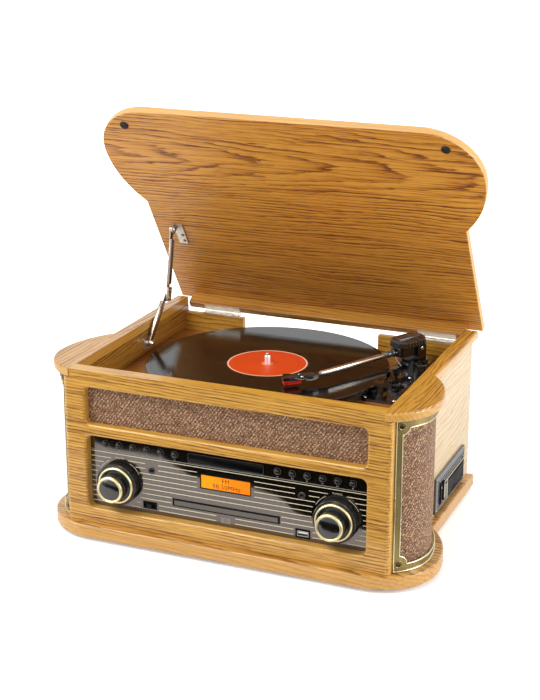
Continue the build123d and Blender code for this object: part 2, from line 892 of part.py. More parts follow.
for y in (flap_front, flap_rear):
    socket_low = y - flap_gap - pin_reach
    socket_high = y + flap_gap + pin_reach
    bezel -= rod_y(flap_axis_x, flap_axis_z, flap_pin + running_gap, socket_low, socket_high)
save("cassette_bezel", bezel)

bay_low = 23.0
bay_high = 61.0
bay = block(bay_inner, wall_outer, bezel_front + 10, bezel_rear - 2, bay_low, bay_high)
bay_mouth_low = flap_low - 1.0
bay_mouth_high = flap_high + 1.0
bay -= block(
    bay_inner + bay_wall, wall_outer, flap_front - 1.0, flap_rear + 0.6, bay_mouth_low, bay_mouth_high
)
bay -= block(
    wall_outer - 10, wall_outer, key_first - 1.0, key_first + key_pitch + key_width + 1.0,
    key_low - 1.0, key_high + 1.0
)
for x in (bay_inner + 10, wall_inner - 10):
    for y in (bezel_front + 18, bezel_rear - 12):
        bay += rod_z(x, y, 4.0, base_top, bay_low)
bay += rod_z(130, 44, 9.0, bay_high, bay_high + 10)
save("cassette_mechanism", bay)

flap_face_x = wall_outer + bezel_thick - 0.4
flap = block(flap_face_x - flap_thick, flap_face_x, flap_front, flap_rear, flap_low, flap_axis_z)
flap += rod_y(flap_axis_x, flap_axis_z, 1.0, flap_front, flap_rear)
for y0, y1 in ((flap_front - flap_gap - 1.2, flap_front), (flap_rear, flap_rear + flap_gap + 1.2)):
    flap += rod_y(flap_axis_x, flap_axis_z, flap_pin, y0, y1)
finger_groove = rect(flap_front + 20, flap_rear - 20, flap_low + 2, flap_low + 5)
flap -= from_right(finger_groove, flap_face_x - 0.5, 0.5)
save("cassette_flap", flap)

key_names = ("cassette_key_stop", "cassette_key_wind")
for name, y in zip(key_names, key_spots):
    key = block(wall_outer - 5, wall_outer + bezel_thick + 2.2, y, y + key_width, key_low, key_high)
    key = chamfer(key.faces().sort_by(Axis.X)[-1].edges(), 0.8)
    save(name, key)

# turntable: fixed bush and motor, turning platter with its spindle, belt drive
deck_low = deck_top - deck_thick
bush = rod_z(spin_x, spin_y, bush_flange, deck_top, deck_top + bush_flange_thick)
bush += rod_z(spin_x, spin_y, bush_radius, deck_low - 14, deck_top)
bush -= rod_z(spin_x, spin_y, spindle_radius + running_gap, deck_low - 12, deck_top + bush_flange_thick)
motor = rod_z(motor_x, motor_y, motor_radius, deck_low - motor_height, deck_low - 1.5)
motor += rod_z(motor_x, motor_y, 5.0, deck_low - 1.5, deck_low + 1)
motor += from_top(
    Pos(motor_x, motor_y) * SlotOverall(2 * motor_radius + 26, 16), deck_low - 1.5, 1.5
)
motor_shaft = 1.2
motor -= rod_z(motor_x, motor_y, motor_shaft + running_gap, deck_low - 8, deck_low + 1)
pulley_low = platter_foot + 0.4
pulley_height = 4.0
pulley_profile = make_face(
    Polyline(
        (0, deck_low - 7 - pulley_low),
        (motor_shaft, deck_low - 7 - pulley_low),
        (motor_shaft, -1.0),
        (pulley_radius + 0.8, -1.0),
        (pulley_radius + 0.8, -0.4),
        (pulley_radius, 0.2),
        (pulley_radius, pulley_height - 0.6),
        (pulley_radius + 0.8, pulley_height),
        (0, pulley_height),
        close=True,
    )
)
pulley = revolve(Plane.XZ * pulley_profile, axis=Axis.Z)
pulley -= Pos(pulley_radius / 2, 0, pulley_height) * Cylinder(0.8, 1.0)
save("motor_pulley", Pos(motor_x, motor_y, pulley_low) * pulley)

belt_low = pulley_low + 0.2
belt_inside = make_hull(
    (
        (Pos(spin_x, spin_y) * Circle(belt_ring + belt_gap)).edges()
        + (Pos(motor_x, motor_y) * Circle(pulley_radius + belt_gap)).edges()
    )
)
belt_outside = make_hull(
    (
        (Pos(spin_x, spin_y) * Circle(belt_ring + belt_gap + belt_thick)).edges()
        + (Pos(motor_x, motor_y) * Circle(pulley_radius + belt_gap + belt_thick)).edges()
    )
)
belt = from_top(belt_outside - belt_inside, belt_low, belt_width)
save("turntable_drive", Part() + [bush, motor, belt])

skirt_inner = platter_radius - platter_skirt
web_low = platter_top - platter_web
hub_radius = 11.0
spindle_end = deck_low - 10
platter_profile = make_face(
    Polyline(
        (0, spindle_end),
        (spindle_radius, spindle_end),
        (spindle_radius, deck_top + bush_flange_thick + 0.3),
        (hub_radius, deck_top + bush_flange_thick + 0.3),
        (hub_radius, web_low),
        (belt_ring - belt_wall, web_low),
        (belt_ring - belt_wall, platter_foot),
        (belt_ring, platter_foot),
        (belt_ring, web_low),
        (skirt_inner, web_low),
        (skirt_inner, platter_foot),
        (platter_radius, platter_foot),
        (platter_radius, platter_top - 1.2),
        (platter_radius - 1.2, platter_top),
        (spindle_radius, platter_top),
        (spindle_radius, spindle_top - 4.0),
        (spindle_radius * 0.75, spindle_top - 0.9),
        (0, spindle_top),
        close=True,
    )
)
platter = revolve(Plane.XZ * platter_profile, axis=Axis.Z)
save("platter", Pos(spin_x, spin_y, 0) * platter)

mat = rod_z(0, 0, mat_radius, platter_top, platter_top + mat_thick)
mat -= rod_z(0, 0, spindle_radius + 0.4, platter_top, platter_top + mat_thick)
for i in range(5):
    groove_outer = mat_radius - 6 - i * 14
    groove = rod_z(0, 0, groove_outer, platter_top + mat_thick - 0.5, platter_top + mat_thick)
    groove -= rod_z(0, 0, groove_outer - 4, platter_top + mat_thick - 0.5, platter_top + mat_thick)
    mat -= groove
save("slip_mat", Pos(spin_x, spin_y, 0) * mat)

record_low = platter_top + mat_thick
record_top = record_low + record_thick
record_profile = make_face(
    Polyline(
        (spindle_radius + running_gap, record_low),
        (record_radius - 0.6, record_low),
        (record_radius, record_low + record_thick / 2),
        (record_radius - 0.6, record_top),
        (record_radius - 5, record_top - 0.1),
        (label_radius + 8, record_top - 0.1),
        (label_radius + 4, record_top),
        (label_radius + 0.2, record_top),
        (label_radius + 0.2, record_top - label_sink),
        (spindle_radius + running_gap, record_top - label_sink),
        close=True,
    )
)
record = revolve(Plane.XZ * record_profile, axis=Axis.Z)
save("record", Pos(spin_x, spin_y, 0) * record)
label = rod_z(0, 0, label_radius, record_top - label_sink, record_top - label_sink + label_thick)
label -= rod_z(0, 0, spindle_radius + running_gap, record_top - label_sink, record_top + 1)
save("record_label", Pos(spin_x, spin_y, 0) * label)

# tonearm, drawn pointing along +X from its pivot, then turned over the record
plate_top = deck_top + arm_plate_thick
arm_plate = from_top(
    rect(arm_plate_left, arm_plate_right, arm_plate_front, arm_plate_rear, 8.0), deck_top, arm_plate_thick
)
arm_plate += rod_z(arm_x, arm_y, arm_boss_radius, plate_top, arm_boss_top)
arm_plate += rod_z(arm_x, arm_y, 8.8, deck_low - 8, deck_top)
arm_plate -= rod_z(arm_x, arm_y, arm_shaft + running_gap, deck_low - 6, arm_boss_top)
arm_plate += rod_z(post_x, post_y, post_foot, plate_top, plate_top + 4)
arm_plate += rod_z(post_x, post_y, post_radius, plate_top + 4, post_top - 4)
cradle_half_y = 4.5
cradle_wall = 1.4
cradle_front = post_y - cradle_half_y
cradle_rear = post_y + cradle_half_y
cradle_left = post_x - 6.0
cradle_right = post_x + 7.0
cradle_low = post_top - 4.0
clip_pin = 1.2
arm_plate += block(cradle_left, cradle_right, cradle_front, cradle_rear, cradle_low, post_top)
arm_plate += block(
    cradle_right - cradle_wall, cradle_right, cradle_front, cradle_rear, post_top, post_top + 6
)
for y in (cradle_front, cradle_rear - cradle_wall):
    arm_plate += block(cradle_right, clip_x + 3.0, y, y + cradle_wall, cradle_low, clip_z + 2.4)
arm_plate -= rod_y(clip_x, clip_z, clip_pin + running_gap, cradle_front - 1, cradle_rear + 1)
cue_seat = plate_top + 9
arm_plate += rod_z(cue_x, cue_y, 5.0, plate_top, cue_seat)
arm_plate += rod_z(cue_x, cue_y, lever_pin, cue_seat, cue_seat + 4)
for x, y in ((speed_x, speed_y), (stop_x, stop_y)):
    arm_plate += rod_z(x, y, 7.0, plate_top, plate_top + 1.5)
    arm_plate += rod_z(x, y, lever_pin, plate_top + 1.5, plate_top + 4.5)
arm_plate += block(arm_plate_right - 8, arm_plate_right - 3, 6, 70, plate_top, plate_top + 1.2)
save("tonearm_plate", arm_plate)

clip_y0 = cradle_front + cradle_wall + 0.4
clip_y1 = cradle_rear - cradle_wall - 0.4
clip = rod_y(clip_x, clip_z, 2.2, clip_y0, clip_y1)
clip += rod_y(clip_x, clip_z, clip_pin, cradle_front - 0.6, cradle_rear + 0.6)
clip_top = clip_z + clip_rise + clip_strip
clip += block(clip_x - 0.7, clip_x + 0.7, clip_y0, clip_y1, clip_z, clip_top)
clip += block(clip_x - clip_reach, clip_x + 0.7, clip_y0, clip_y1, clip_top - clip_strip, clip_top)
clip_tip = clip_x - clip_reach
clip += block(clip_tip, clip_tip + clip_strip, clip_y0, clip_y1, clip_top - 4, clip_top)
clip = clip.rotate(Axis((clip_x, 0, clip_z), (0, 1, 0)), clip_open)
save("arm_clip", clip)


def toward_record(shape):
    """Turns and moves a piece drawn along +X from the arm pivot to where the arm lies."""
    return Pos(arm_x, arm_y, 0) * Rot(0, 0, 270 - arm_swing) * shape


turret = Pos(0, 0, arm_boss_top + 0.3) * Cylinder(
    turret_radius, turret_disc, align=(Align.CENTER, Align.CENTER, Align.MIN)
)
turret_floor = arm_boss_top + 0.3 + turret_disc
turret += rod_z(0, 0, arm_shaft, deck_low - 4, arm_boss_top + 1)
ear_outer = ear_offset + ear_thick
turret += block(-ear_half, ear_half, -ear_outer, ear_outer, turret_floor, turret_floor + 6)
for side in (-1, 1):
    turret += block(
        -ear_half, ear_half, side * ear_offset, side * ear_outer, turret_floor, ear_top
    )
turret -= rod_y(0, arm_pivot_z, pivot_pin + running_gap, -ear_outer, ear_outer)
save("tonearm_turret", toward_record(turret))

lug_half = ear_offset - 0.5
head_plan = rect(head_back, head_front, -head_width / 2, head_width / 2)
head_plan = chamfer(head_plan.vertices(), head_chamfer)
head = from_top(head_plan, head_low, head_high - head_low)
head = chamfer(head.faces().sort_by(Axis.Z)[-1].edges(), 2.4)
head += block(-6, head_front - 6, -lug_half, lug_half, arm_z - 6, head_low)
head += rod_y(0, arm_pivot_z, pivot_pin, 0.3 - ear_outer, ear_outer - 0.3)
tube_start = head_front + 2.0
collar_radius = tube_radius + 1.3
head += rod_x(0, arm_z, collar_radius + 1.0, tube_start - 14, tube_start)
save("tonearm_head", toward_record(head))

tube = rod_x(0, arm_z, tube_radius, tube_start, tube_end)
tube += rod_x(0, arm_z, collar_radius, tube_start, tube_start + 10)
save("tonearm_tube", toward_record(tube))

shell_bend = Pos(tube_end, 0, 0) * Rot(0, 0, -shell_offset)
shell_length = shell_end - tube_end
shell_plan = make_face(
    Polyline(
        (-9, -4.2),
        (4, -4.2),
        (12, -shell_width / 2),
        (shell_length - 6, -shell_tip_width / 2 - 1),
        (shell_length, -shell_tip_width / 2 + 1.5),
        (shell_length, shell_tip_width / 2 - 1.5),
        (shell_length - 6, shell_tip_width / 2 + 1),
        (12, shell_width / 2),
        (4, 4.2),
        (-9, 4.2),
        close=True,
    )
)
headshell = from_top(shell_plan, shell_low, shell_high - shell_low)
for y in (-4.5, 4.5):
    headshell -= from_top(Pos(23, y) * SlotOverall(14, 2.2), shell_low, shell_high - shell_low)
headshell += from_top(
    Pos(shell_length - 12, -9.5) * Rot(0, 0, -18) * SlotOverall(16, 2.4), shell_high - 1.2, 1.2
)
headshell = shell_bend * headshell
headshell -= rod_x(0, arm_z, tube_radius + 0.05, tube_end - 20, tube_end + 0.05)
save("headshell", toward_record(headshell))

cart_plan = make_face(
    Polyline(
        (shell_length - cartridge_length - 3, -5.4),
        (shell_length - 5, -5.4),
        (shell_length - 1, -3.4),
        (shell_length - 1, 3.4),
        (shell_length - 5, 5.4),
        (shell_length - cartridge_length - 3, 5.4),
        close=True,
    )
)
cartridge = from_top(cart_plan, cartridge_low, shell_low - cartridge_low)
cartridge = chamfer(cartridge.faces().sort_by(Axis.Z)[0].edges(), 1.6)
cartridge += from_top(
    Pos(shell_length - 6, 0) * Rectangle(9, 1.6), stylus_low + 0.7, cartridge_low - stylus_low
)
cartridge += Pos(shell_length - 3, 0, stylus_low) * Cone(
    0.2, 0.8, 1.0, align=(Align.CENTER, Align.CENTER, Align.MIN)
)
save("cartridge", toward_record(shell_bend * cartridge))


# levers beside the arm
def lever(x, y, seat, length, turn, rise):
    """Flat lever on a pin, with a raised finger tab at its end."""
    plan = Circle(5.0) + rect(0, length, -2.2, 2.2)
    body = from_top(plan, 0, 2.4)
    body += from_top(rect(length - 5, length, -4, 4), 0, rise)
    body -= rod_z(0, 0, lever_pin + running_gap, 0, 2.4)
    return Pos(x, y, seat) * Rot(0, 0, turn) * body


save("cue_lever", lever(cue_x, cue_y, cue_seat + 0.3, 24.0, -62.0, 6.0))
save("speed_lever", lever(speed_x, speed_y, plate_top + 1.8, 15.0, -80.0, 5.0))
save("auto_stop_lever", lever(stop_x, stop_y, plate_top + 1.8, 14.0, -100.0, 5.0))


# lid: drawn closed, then opened about the hinge line
def opened(shape):
    """Turns a piece of the closed lid to its open rest position."""
    return shape.rotate(Axis((0, hinge_y, hinge_z), (1, 0, 0)), -lid_angle)


lid_plan = lobed_board(base_front_radius, base_rear_radius, lid_side, lid_rear, lid_shift)
lid = from_top(lid_plan, lid_low, lid_thick)
lid = fillet(lid.faces().sort_by(Axis.Z)[-1].edges(), lid_edge_round)
lid = fillet(lid.faces().sort_by(Axis.Z)[0].edges(), 1.5)
save("lid_board", opened(lid))

batten = block(-batten_half, batten_half, batten_front, lid_rear, batten_low, lid_low)
batten = fillet(batten.faces().sort_by(Axis.Z)[0].edges().filter_by(Axis.X), 1.0)
for start in (hinge_left, hinge_right):
    batten -= rod_x(hinge_y, hinge_z, barrel_radius + 0.3, start - 0.5, start + hinge_length + 0.5)
save("lid_batten", opened(batten))

bumper_profile = make_face(
    Polyline(
        (0, 0),
        (bumper_radius - 0.8, 0),
        (bumper_radius, 0.8),
        (bumper_radius, bumper_thick),
        (0, bumper_thick),
        close=True,
    )
)
bumper = Pos(bumper_x, bumper_y, lid_low - bumper_thick) * revolve(Plane.XZ * bumper_profile, axis=Axis.Z)
save("lid_bumpers", opened(both_sides(bumper)))

knuckle = hinge_length / knuckle_count
leaf_low = rear_wall_top
fixed_leaves = []
moving_leaves = []
for start in (hinge_left, hinge_right):
    end = start + hinge_length
    fixed = block(start, end, rear_wall_front + 0.5, hinge_y - 1.0, leaf_low, leaf_low + hinge_leaf)
    moving = block(start, end, batten_front + 0.5, hinge_y - 1.0, batten_low - hinge_leaf, batten_low)
    for i in range(knuckle_count):
        x0 = start + i * knuckle
        tube_part = rod_x(hinge_y, hinge_z, barrel_radius, x0, x0 + knuckle)
        clear_part = rod_x(
            hinge_y,
            hinge_z,
            barrel_radius + knuckle_gap,
            x0 - knuckle_gap,
            x0 + knuckle + knuckle_gap,
        )
        if i % 2 == 0:
            fixed += tube_part
            moving -= clear_part
        else:
            moving += tube_part
            fixed -= clear_part
    moving -= rod_x(hinge_y, hinge_z, hinge_pin + running_gap, start - 1, end + 1)
    fixed += rod_x(hinge_y, hinge_z, hinge_pin, start, end)
    for i in range(3):
        x = start + hinge_length * (i + 0.5) / 3
        fixed -= rod_z(x, (rear_wall_front + hinge_y) / 2 - 1.5, 1.6, leaf_low, leaf_low + hinge_leaf)
    fixed_leaves.append(fixed)
    moving_leaves.append(moving)
save("cabinet_hinge_leaves", Part() + fixed_leaves)

# folding stay: one arm on the wall, one on the lid, meeting at a riveted joint
bracket_plate = 1.6
bracket_face = rect(stay_y - 9, stay_y + 9, stay_z - 8, stay_z + 8, 3.0)
wall_bracket = from_right(bracket_face, -wall_inner, bracket_plate)
wall_bracket += rod_x(stay_y, stay_z, stay_head, -wall_inner + bracket_plate, lower_x - 0.3)
wall_bracket += rod_x(stay_y, stay_z, stay_stud, lower_x - 0.3, lower_x + stay_strip + 0.3)
wall_bracket += rod_x(stay_y, stay_z, stay_head, lower_x + stay_strip + 0.3, lower_x + stay_strip + 1.3)
save("stay_wall_bracket", wall_bracket)


def stay_arm(y, z, length, angle, x):
    """Flat strip with round ends, from a hole at (y, z) along an angle."""
    plan = Pos(length / 2, 0) * SlotOverall(length + stay_width, stay_width)
    plan -= Circle(stay_stud + running_gap)
    return from_right(Pos(y, z) * Rot(0, 0, angle) * plan, x, stay_strip)


lower_rad = math.radians(lower_angle)
mid_y = stay_y + lower_length * math.cos(lower_rad)
mid_z = stay_z + lower_length * math.sin(lower_rad)
lower_arm = stay_arm(stay_y, stay_z, lower_length, lower_angle, lower_x)
lower_arm += rod_x(mid_y, mid_z, 3.4, lower_x - 1.0, lower_x)
save("stay_lower_arm", lower_arm)

open_pivot = Vector(0, stay_lid_y - hinge_y, stay_lid_z - hinge_z).rotate(Axis.X, -lid_angle)
lid_pivot_y = open_pivot.Y + hinge_y
lid_pivot_z = open_pivot.Z + hinge_z
upper_arm = stay_arm(lid_pivot_y, lid_pivot_z, upper_length, upper_angle + 180, upper_x)
upper_arm += rod_x(mid_y, mid_z, 3.4, upper_x + stay_strip, upper_x + stay_strip + 1.0)
sleeve_plan = Pos(upper_length - 17, 0) * RectangleRounded(20, stay_width + 1.6, 1.0)
sleeve = from_right(
    Pos(lid_pivot_y, lid_pivot_z) * Rot(0, 0, upper_angle + 180) * sleeve_plan,
    upper_x + stay_strip,
    1.2,
)
upper_arm += sleeve
save("stay_upper_arm", upper_arm)

# lid side of the hinges and of the stay
ear_x = upper_x + stay_strip + 0.4
lid_bracket = block(ear_x, ear_x + 12, stay_lid_y - 4, stay_lid_y + 30, lid_low - bracket_plate, lid_low)
lid_ear = from_right(
    rect(stay_lid_y - 6, stay_lid_y + 6, stay_lid_z - 5, lid_low, 2.0), ear_x, bracket_plate
)
lid_bracket += lid_ear
lid_bracket += rod_x(stay_lid_y, stay_lid_z, stay_stud, upper_x - 0.3, ear_x)
lid_bracket += rod_x(stay_lid_y, stay_lid_z, stay_head, upper_x - 1.3, upper_x - 0.3)
save("lid_hardware", opened(Part() + (moving_leaves + [lid_bracket])))
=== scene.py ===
"""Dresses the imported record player: finishes, small fittings, light and camera.

All sizes in the classes are in millimetres, measured as the solids are: X right, Y back,
Z up, from a point on the table under the middle of the base board.
"""
import logging
import math
from dataclasses import dataclass, field
from enum import Enum
from typing import Callable, Iterable, Sequence, Union

import bpy
from mathutils import Matrix, Vector


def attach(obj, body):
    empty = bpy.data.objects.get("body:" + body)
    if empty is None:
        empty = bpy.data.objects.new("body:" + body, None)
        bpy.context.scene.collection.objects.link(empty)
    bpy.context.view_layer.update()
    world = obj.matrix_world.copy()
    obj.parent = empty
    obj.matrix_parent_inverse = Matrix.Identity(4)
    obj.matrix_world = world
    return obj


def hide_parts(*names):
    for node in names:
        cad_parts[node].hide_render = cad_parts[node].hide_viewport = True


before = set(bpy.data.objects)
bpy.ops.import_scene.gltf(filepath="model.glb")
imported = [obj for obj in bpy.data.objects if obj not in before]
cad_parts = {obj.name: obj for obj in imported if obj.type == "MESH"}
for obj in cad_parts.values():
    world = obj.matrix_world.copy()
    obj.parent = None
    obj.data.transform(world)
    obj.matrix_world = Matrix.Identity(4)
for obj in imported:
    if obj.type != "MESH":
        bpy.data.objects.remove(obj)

log = logging.getLogger("record_player")

MIDDLE_SHIFT = 10.75
MM = 0.001
SPINDLE = (-19.2, 26.8)
SIDES = ((1, "right"), (-1, "left"))

Point = tuple[float, float, float]
Flat = tuple[float, float]
Colour = tuple[float, float, float, float]
Piece = bpy.types.Object
Socket = bpy.types.NodeSocket
Sockets = bpy.types.bpy_prop_collection
Feed = Union[Socket, float, Sequence[float]]


def place(x: float, y: float, z: float) -> Vector:
    """Turn a point in millimetres into the frame's metres."""
    return Vector((x * MM, (y - MIDDLE_SHIFT) * MM, z * MM))


def paint(code: str) -> Colour:
    """Turn a six-digit display colour into linear light."""
    parts = [int(code[i:i + 2], 16) / 255 for i in (0, 2, 4)]
    linear = [c / 12.92 if c <= 0.04045 else ((c + 0.055) / 1.055) ** 2.4 for c in parts]
    return (linear[0], linear[1], linear[2], 1.0)


class GrainAxis(Enum):
    """Which way the grain of a board runs."""

    ALONG_X = "x"
    ALONG_Y = "y"
    LID = "lid"


class Facing(Enum):
    """Which way the top of a piece drawn upright is turned."""

    UP = "up"
    FRONT = "front"
    RIGHT = "right"


# Shader building


class NodeDesk:
    """Adds and joins shader nodes in one tree."""

    def __init__(self, tree: bpy.types.NodeTree) -> None:
        """Keep the tree that the nodes go into."""
        self.tree = tree

    def add(self, kind: str, **settings: object) -> bpy.types.Node:
        """Add a node and set its properties."""
        node = self.tree.nodes.new(kind)
        for key, value in settings.items():
            setattr(node, key, value)
        return node

    def feed(self, socket: Socket, value: Feed) -> None:
        """Link a socket, or set its value."""
        if isinstance(value, Socket):
            self.tree.links.new(value, socket)
        else:
            socket.default_value = value

    def maths(self, operation: str, *values: Feed, clamp: bool = False) -> Socket:
        """Combine numbers."""
        node = self.add("ShaderNodeMath", operation=operation, use_clamp=clamp)
        for socket, value in zip(node.inputs, values):
            self.feed(socket, value)
        return node.outputs[0]

    def plus(self, first: Feed, second: Feed, clamp: bool = False) -> Socket:
        """Two numbers added."""
        return self.maths("ADD", first, second, clamp=clamp)

    def times(self, first: Feed, second: Feed) -> Socket:
        """Two numbers multiplied."""
        return self.maths("MULTIPLY", first, second)

    def less(self, first: Feed, second: Feed) -> Socket:
        """The second number taken from the first."""
        return self.maths("SUBTRACT", first, second)

    def fill(self, node: bpy.types.Node, inputs: dict[str, Feed]) -> None:
        """Feed several of a node's inputs by name."""
        for key, value in inputs.items():
            self.feed(node.inputs[key], value)

    def grouped(self, tree: bpy.types.NodeTree, inputs: dict[str, Feed]) -> Sockets:
        """Add a node group."""
        node = self.add("ShaderNodeGroup", node_tree=tree)
        self.fill(node, inputs)
        return node.outputs

    def here(self) -> Socket:
        """The shaded point in its object's own metres."""
        return self.add("ShaderNodeTexCoord").outputs["Object"]

    def split(self, vector: Feed) -> Sockets:
        """The X, Y and Z of a vector."""
        axes = self.add("ShaderNodeSeparateXYZ")
        self.feed(axes.inputs[0], vector)
        return axes.outputs

    def vector_maths(self, operation: str, *values: Feed) -> bpy.types.Node:
        """Combine vectors."""
        node = self.add("ShaderNodeVectorMath", operation=operation)
        for socket, value in zip(node.inputs, values):
            self.feed(socket, value)
        return node

    def between(self, factor: Feed, first: Feed, second: Feed) -> Socket:
        """Mix two colours."""
        node = self.add("ShaderNodeMix", data_type="RGBA")
        self.feed(node.inputs["Factor"], factor)
        self.feed(node.inputs[6], first)
        self.feed(node.inputs[7], second)
        return node.outputs[2]

    def ramp(self, factor: Feed, stops: Sequence[tuple[float, Colour]],
             step: bool = False) -> Socket:
        """Turn a number into a colour.

        Args:
            factor: The number.
            stops: Places along the ramp and their colours.
            step: Whether the colours change in steps.

        Returns:
            The colour's socket.
        """
        node = self.add("ShaderNodeValToRGB")
        bar = node.color_ramp
        bar.interpolation = "CONSTANT" if step else "LINEAR"
        while len(bar.elements) < len(stops):
            bar.elements.new(1.0)
        for element, (spot, colour) in zip(bar.elements, stops):
            element.position = spot
            element.color = colour
        self.feed(node.inputs[0], factor)
        return node.outputs[0]

    def smooth(self, value: Feed, low: float, high: float) -> Socket:
        """Map a number smoothly from 0 at low to 1 at high."""
        node = self.add("ShaderNodeMapRange", interpolation_type="SMOOTHSTEP")
        self.feed(node.inputs[0], value)
        node.inputs[1].default_value = low
        node.inputs[2].default_value = high
        return node.outputs[0]

    def noise(self, vector: Feed, scale: float, detail: float = 2.0,
              roughness: float = 0.5) -> Socket:
        """Soft random value over space."""
        node = self.add("ShaderNodeTexNoise")
        self.feed(node.inputs["Vector"], vector)
        node.inputs["Scale"].default_value = scale
        node.inputs["Detail"].default_value = detail
        node.inputs["Roughness"].default_value = roughness
        return node.outputs["Fac"]

    def stretched(self, vector: Feed, scale: Point, move: Point = (0.0, 0.0, 0.0),
                  turn: Point = (0.0, 0.0, 0.0)) -> Socket:
        """Move, turn and scale a vector."""
        node = self.add("ShaderNodeMapping")
        self.feed(node.inputs["Vector"], vector)
        node.inputs["Location"].default_value = move
        node.inputs["Rotation"].default_value = turn
        node.inputs["Scale"].default_value = scale
        return node.outputs["Vector"]


def shared_group(name: str, inputs: Sequence[tuple[str, str]],
                 outputs: Sequence[tuple[str, str]],
                 fill: Callable[[NodeDesk, bpy.types.Node, bpy.types.Node], None],
                 ) -> bpy.types.NodeTree:
    """Make a shader node group once, and give it back after that.

    Args:
        name: The group's name.
        inputs: Names and socket types that go in.
        outputs: Names and socket types that come out.
        fill: Adds the nodes, given the desk, the input node and the output node.

    Returns:
        The group.
    """
    if name in bpy.data.node_groups:
        return bpy.data.node_groups[name]
    tree = bpy.data.node_groups.new(name, "ShaderNodeTree")
    for label, kind in inputs:
        tree.interface.new_socket(label, in_out="INPUT", socket_type=kind)
    for label, kind in outputs:
        tree.interface.new_socket(label, in_out="OUTPUT", socket_type=kind)
    desk = NodeDesk(tree)
    fill(desk, desk.add("NodeGroupInput"), desk.add("NodeGroupOutput"))
    return tree


VECTOR = "NodeSocketVector"
FLOAT = "NodeSocketFloat"


@dataclass(frozen=True)
class Fibres:
    """Noise drawn out along X, in features per metre, and made crisp between two values."""

    along: float
    across: float
    detail: float
    roughness: float
    crisp: Sequence[float] = ()

    def read(self, desk: NodeDesk, where: Feed) -> Socket:
        """The value at a place."""
        drawn = desk.stretched(where, (self.along, self.across, self.across))
        value = desk.noise(drawn, 1.0, self.detail, self.roughness)
        return desk.smooth(value, *self.crisp) if self.crisp else value


RING_WARP = Fibres(3.0, 10.0, 3.0, 0.55)
RING_JITTER = Fibres(11.0, 95.0, 4.0, 0.62)
RING_PATCHES = Fibres(7.0, 50.0, 4.0, 0.6, (0.34, 0.62))
STREAKS = Fibres(6.0, 430.0, 3.0, 0.6, (0.5, 0.64))
DASHES = Fibres(40.0, 700.0, 2.0, 0.55, (0.56, 0.65))
PORES = Fibres(120.0, 2400.0, 2.0, 0.6, (0.55, 0.72))
BOARD_DRIFT = Fibres(1.6, 6.0, 2.0, 0.5)


def fill_grain(desk: NodeDesk, source: bpy.types.Node, sink: bpy.types.Node) -> None:
    """Oak figure: growth rings, fine streaks and short pores along local X.

    Args:
        desk: Where the nodes go.
        source: The group's inputs.
        sink: The group's outputs.
    """
    where = source.outputs["Vector"]
    x, y, z = desk.split(where)
    sway = desk.times(desk.less(RING_WARP.read(desk, where), 0.5), source.outputs["Waviness"])
    across = desk.plus(y, sway)
    depth = desk.plus(z, desk.times(x, source.outputs["Slope"]))
    radius = desk.maths("SQRT", desk.plus(desk.times(across, across), desk.times(depth, depth)))
    jitter = desk.times(RING_JITTER.read(desk, where), 1.85)
    saw = desk.maths("FRACT", desk.plus(desk.times(radius, source.outputs["Rings"]), jitter))
    late = desk.times(desk.maths("POWER", saw, 3.3), desk.smooth(saw, 1.0, 0.88))
    early = desk.times(desk.maths("POWER", saw, 1.4), 0.16)
    ring = desk.plus(desk.times(late, desk.plus(RING_PATCHES.read(desk, where), 0.33)), early)
    dashes = DASHES.read(desk, where)
    tone = desk.plus(ring, desk.times(STREAKS.read(desk, where), 0.52))
    tone = desk.plus(tone, desk.times(dashes, 0.3))
    tone = desk.plus(tone, desk.times(PORES.read(desk, where), 0.1), clamp=True)
    fall = desk.plus(desk.times(tone, 0.4), desk.times(dashes, 0.6))
    desk.fill(sink, {
        "Tone": tone, "Drift": BOARD_DRIFT.read(desk, where), "Height": desk.less(1.0, fall),
    })


def grain_group() -> bpy.types.NodeTree:
    """The oak grain that all the boards share."""
    return shared_group(
        "oak_grain",
        [("Vector", VECTOR), ("Waviness", FLOAT), ("Slope", FLOAT), ("Rings", FLOAT)],
        [("Tone", FLOAT), ("Drift", FLOAT), ("Height", FLOAT)],
        fill_grain,
    )


def fill_marks(desk: NodeDesk, source: bpy.types.Node, sink: bpy.types.Node) -> None:
    """Handling marks: broad smudges, fine mottle and thin scuffs.

    Args:
        desk: Where the nodes go.
        source: The group's inputs.
        sink: The group's outputs.
    """
    where = source.outputs["Vector"]
    wide = desk.noise(where, 38.0, 3.0, 0.6)
    turned = desk.stretched(where, (900.0, 60.0, 260.0), turn=(0.4, 0.7, 0.9))
    scuff = desk.smooth(desk.noise(turned, 1.0), 0.7, 0.8)
    desk.fill(sink, {
        "Smudge": desk.smooth(wide, 0.42, 0.7),
        "Mottle": desk.noise(where, 1400.0, 2.0, 0.6),
        "Scuff": desk.times(scuff, desk.smooth(wide, 0.5, 0.8)),
    })


def marks_on(desk: NodeDesk) -> Sockets:
    """The handling marks at the shaded point, which plastics, metals and lacquer share."""
    group = shared_group(
        "handling_marks",
        [("Vector", VECTOR)],
        [("Smudge", FLOAT), ("Mottle", FLOAT), ("Scuff", FLOAT)],
        fill_marks,
    )
    return desk.grouped(group, {"Vector": desk.here()})


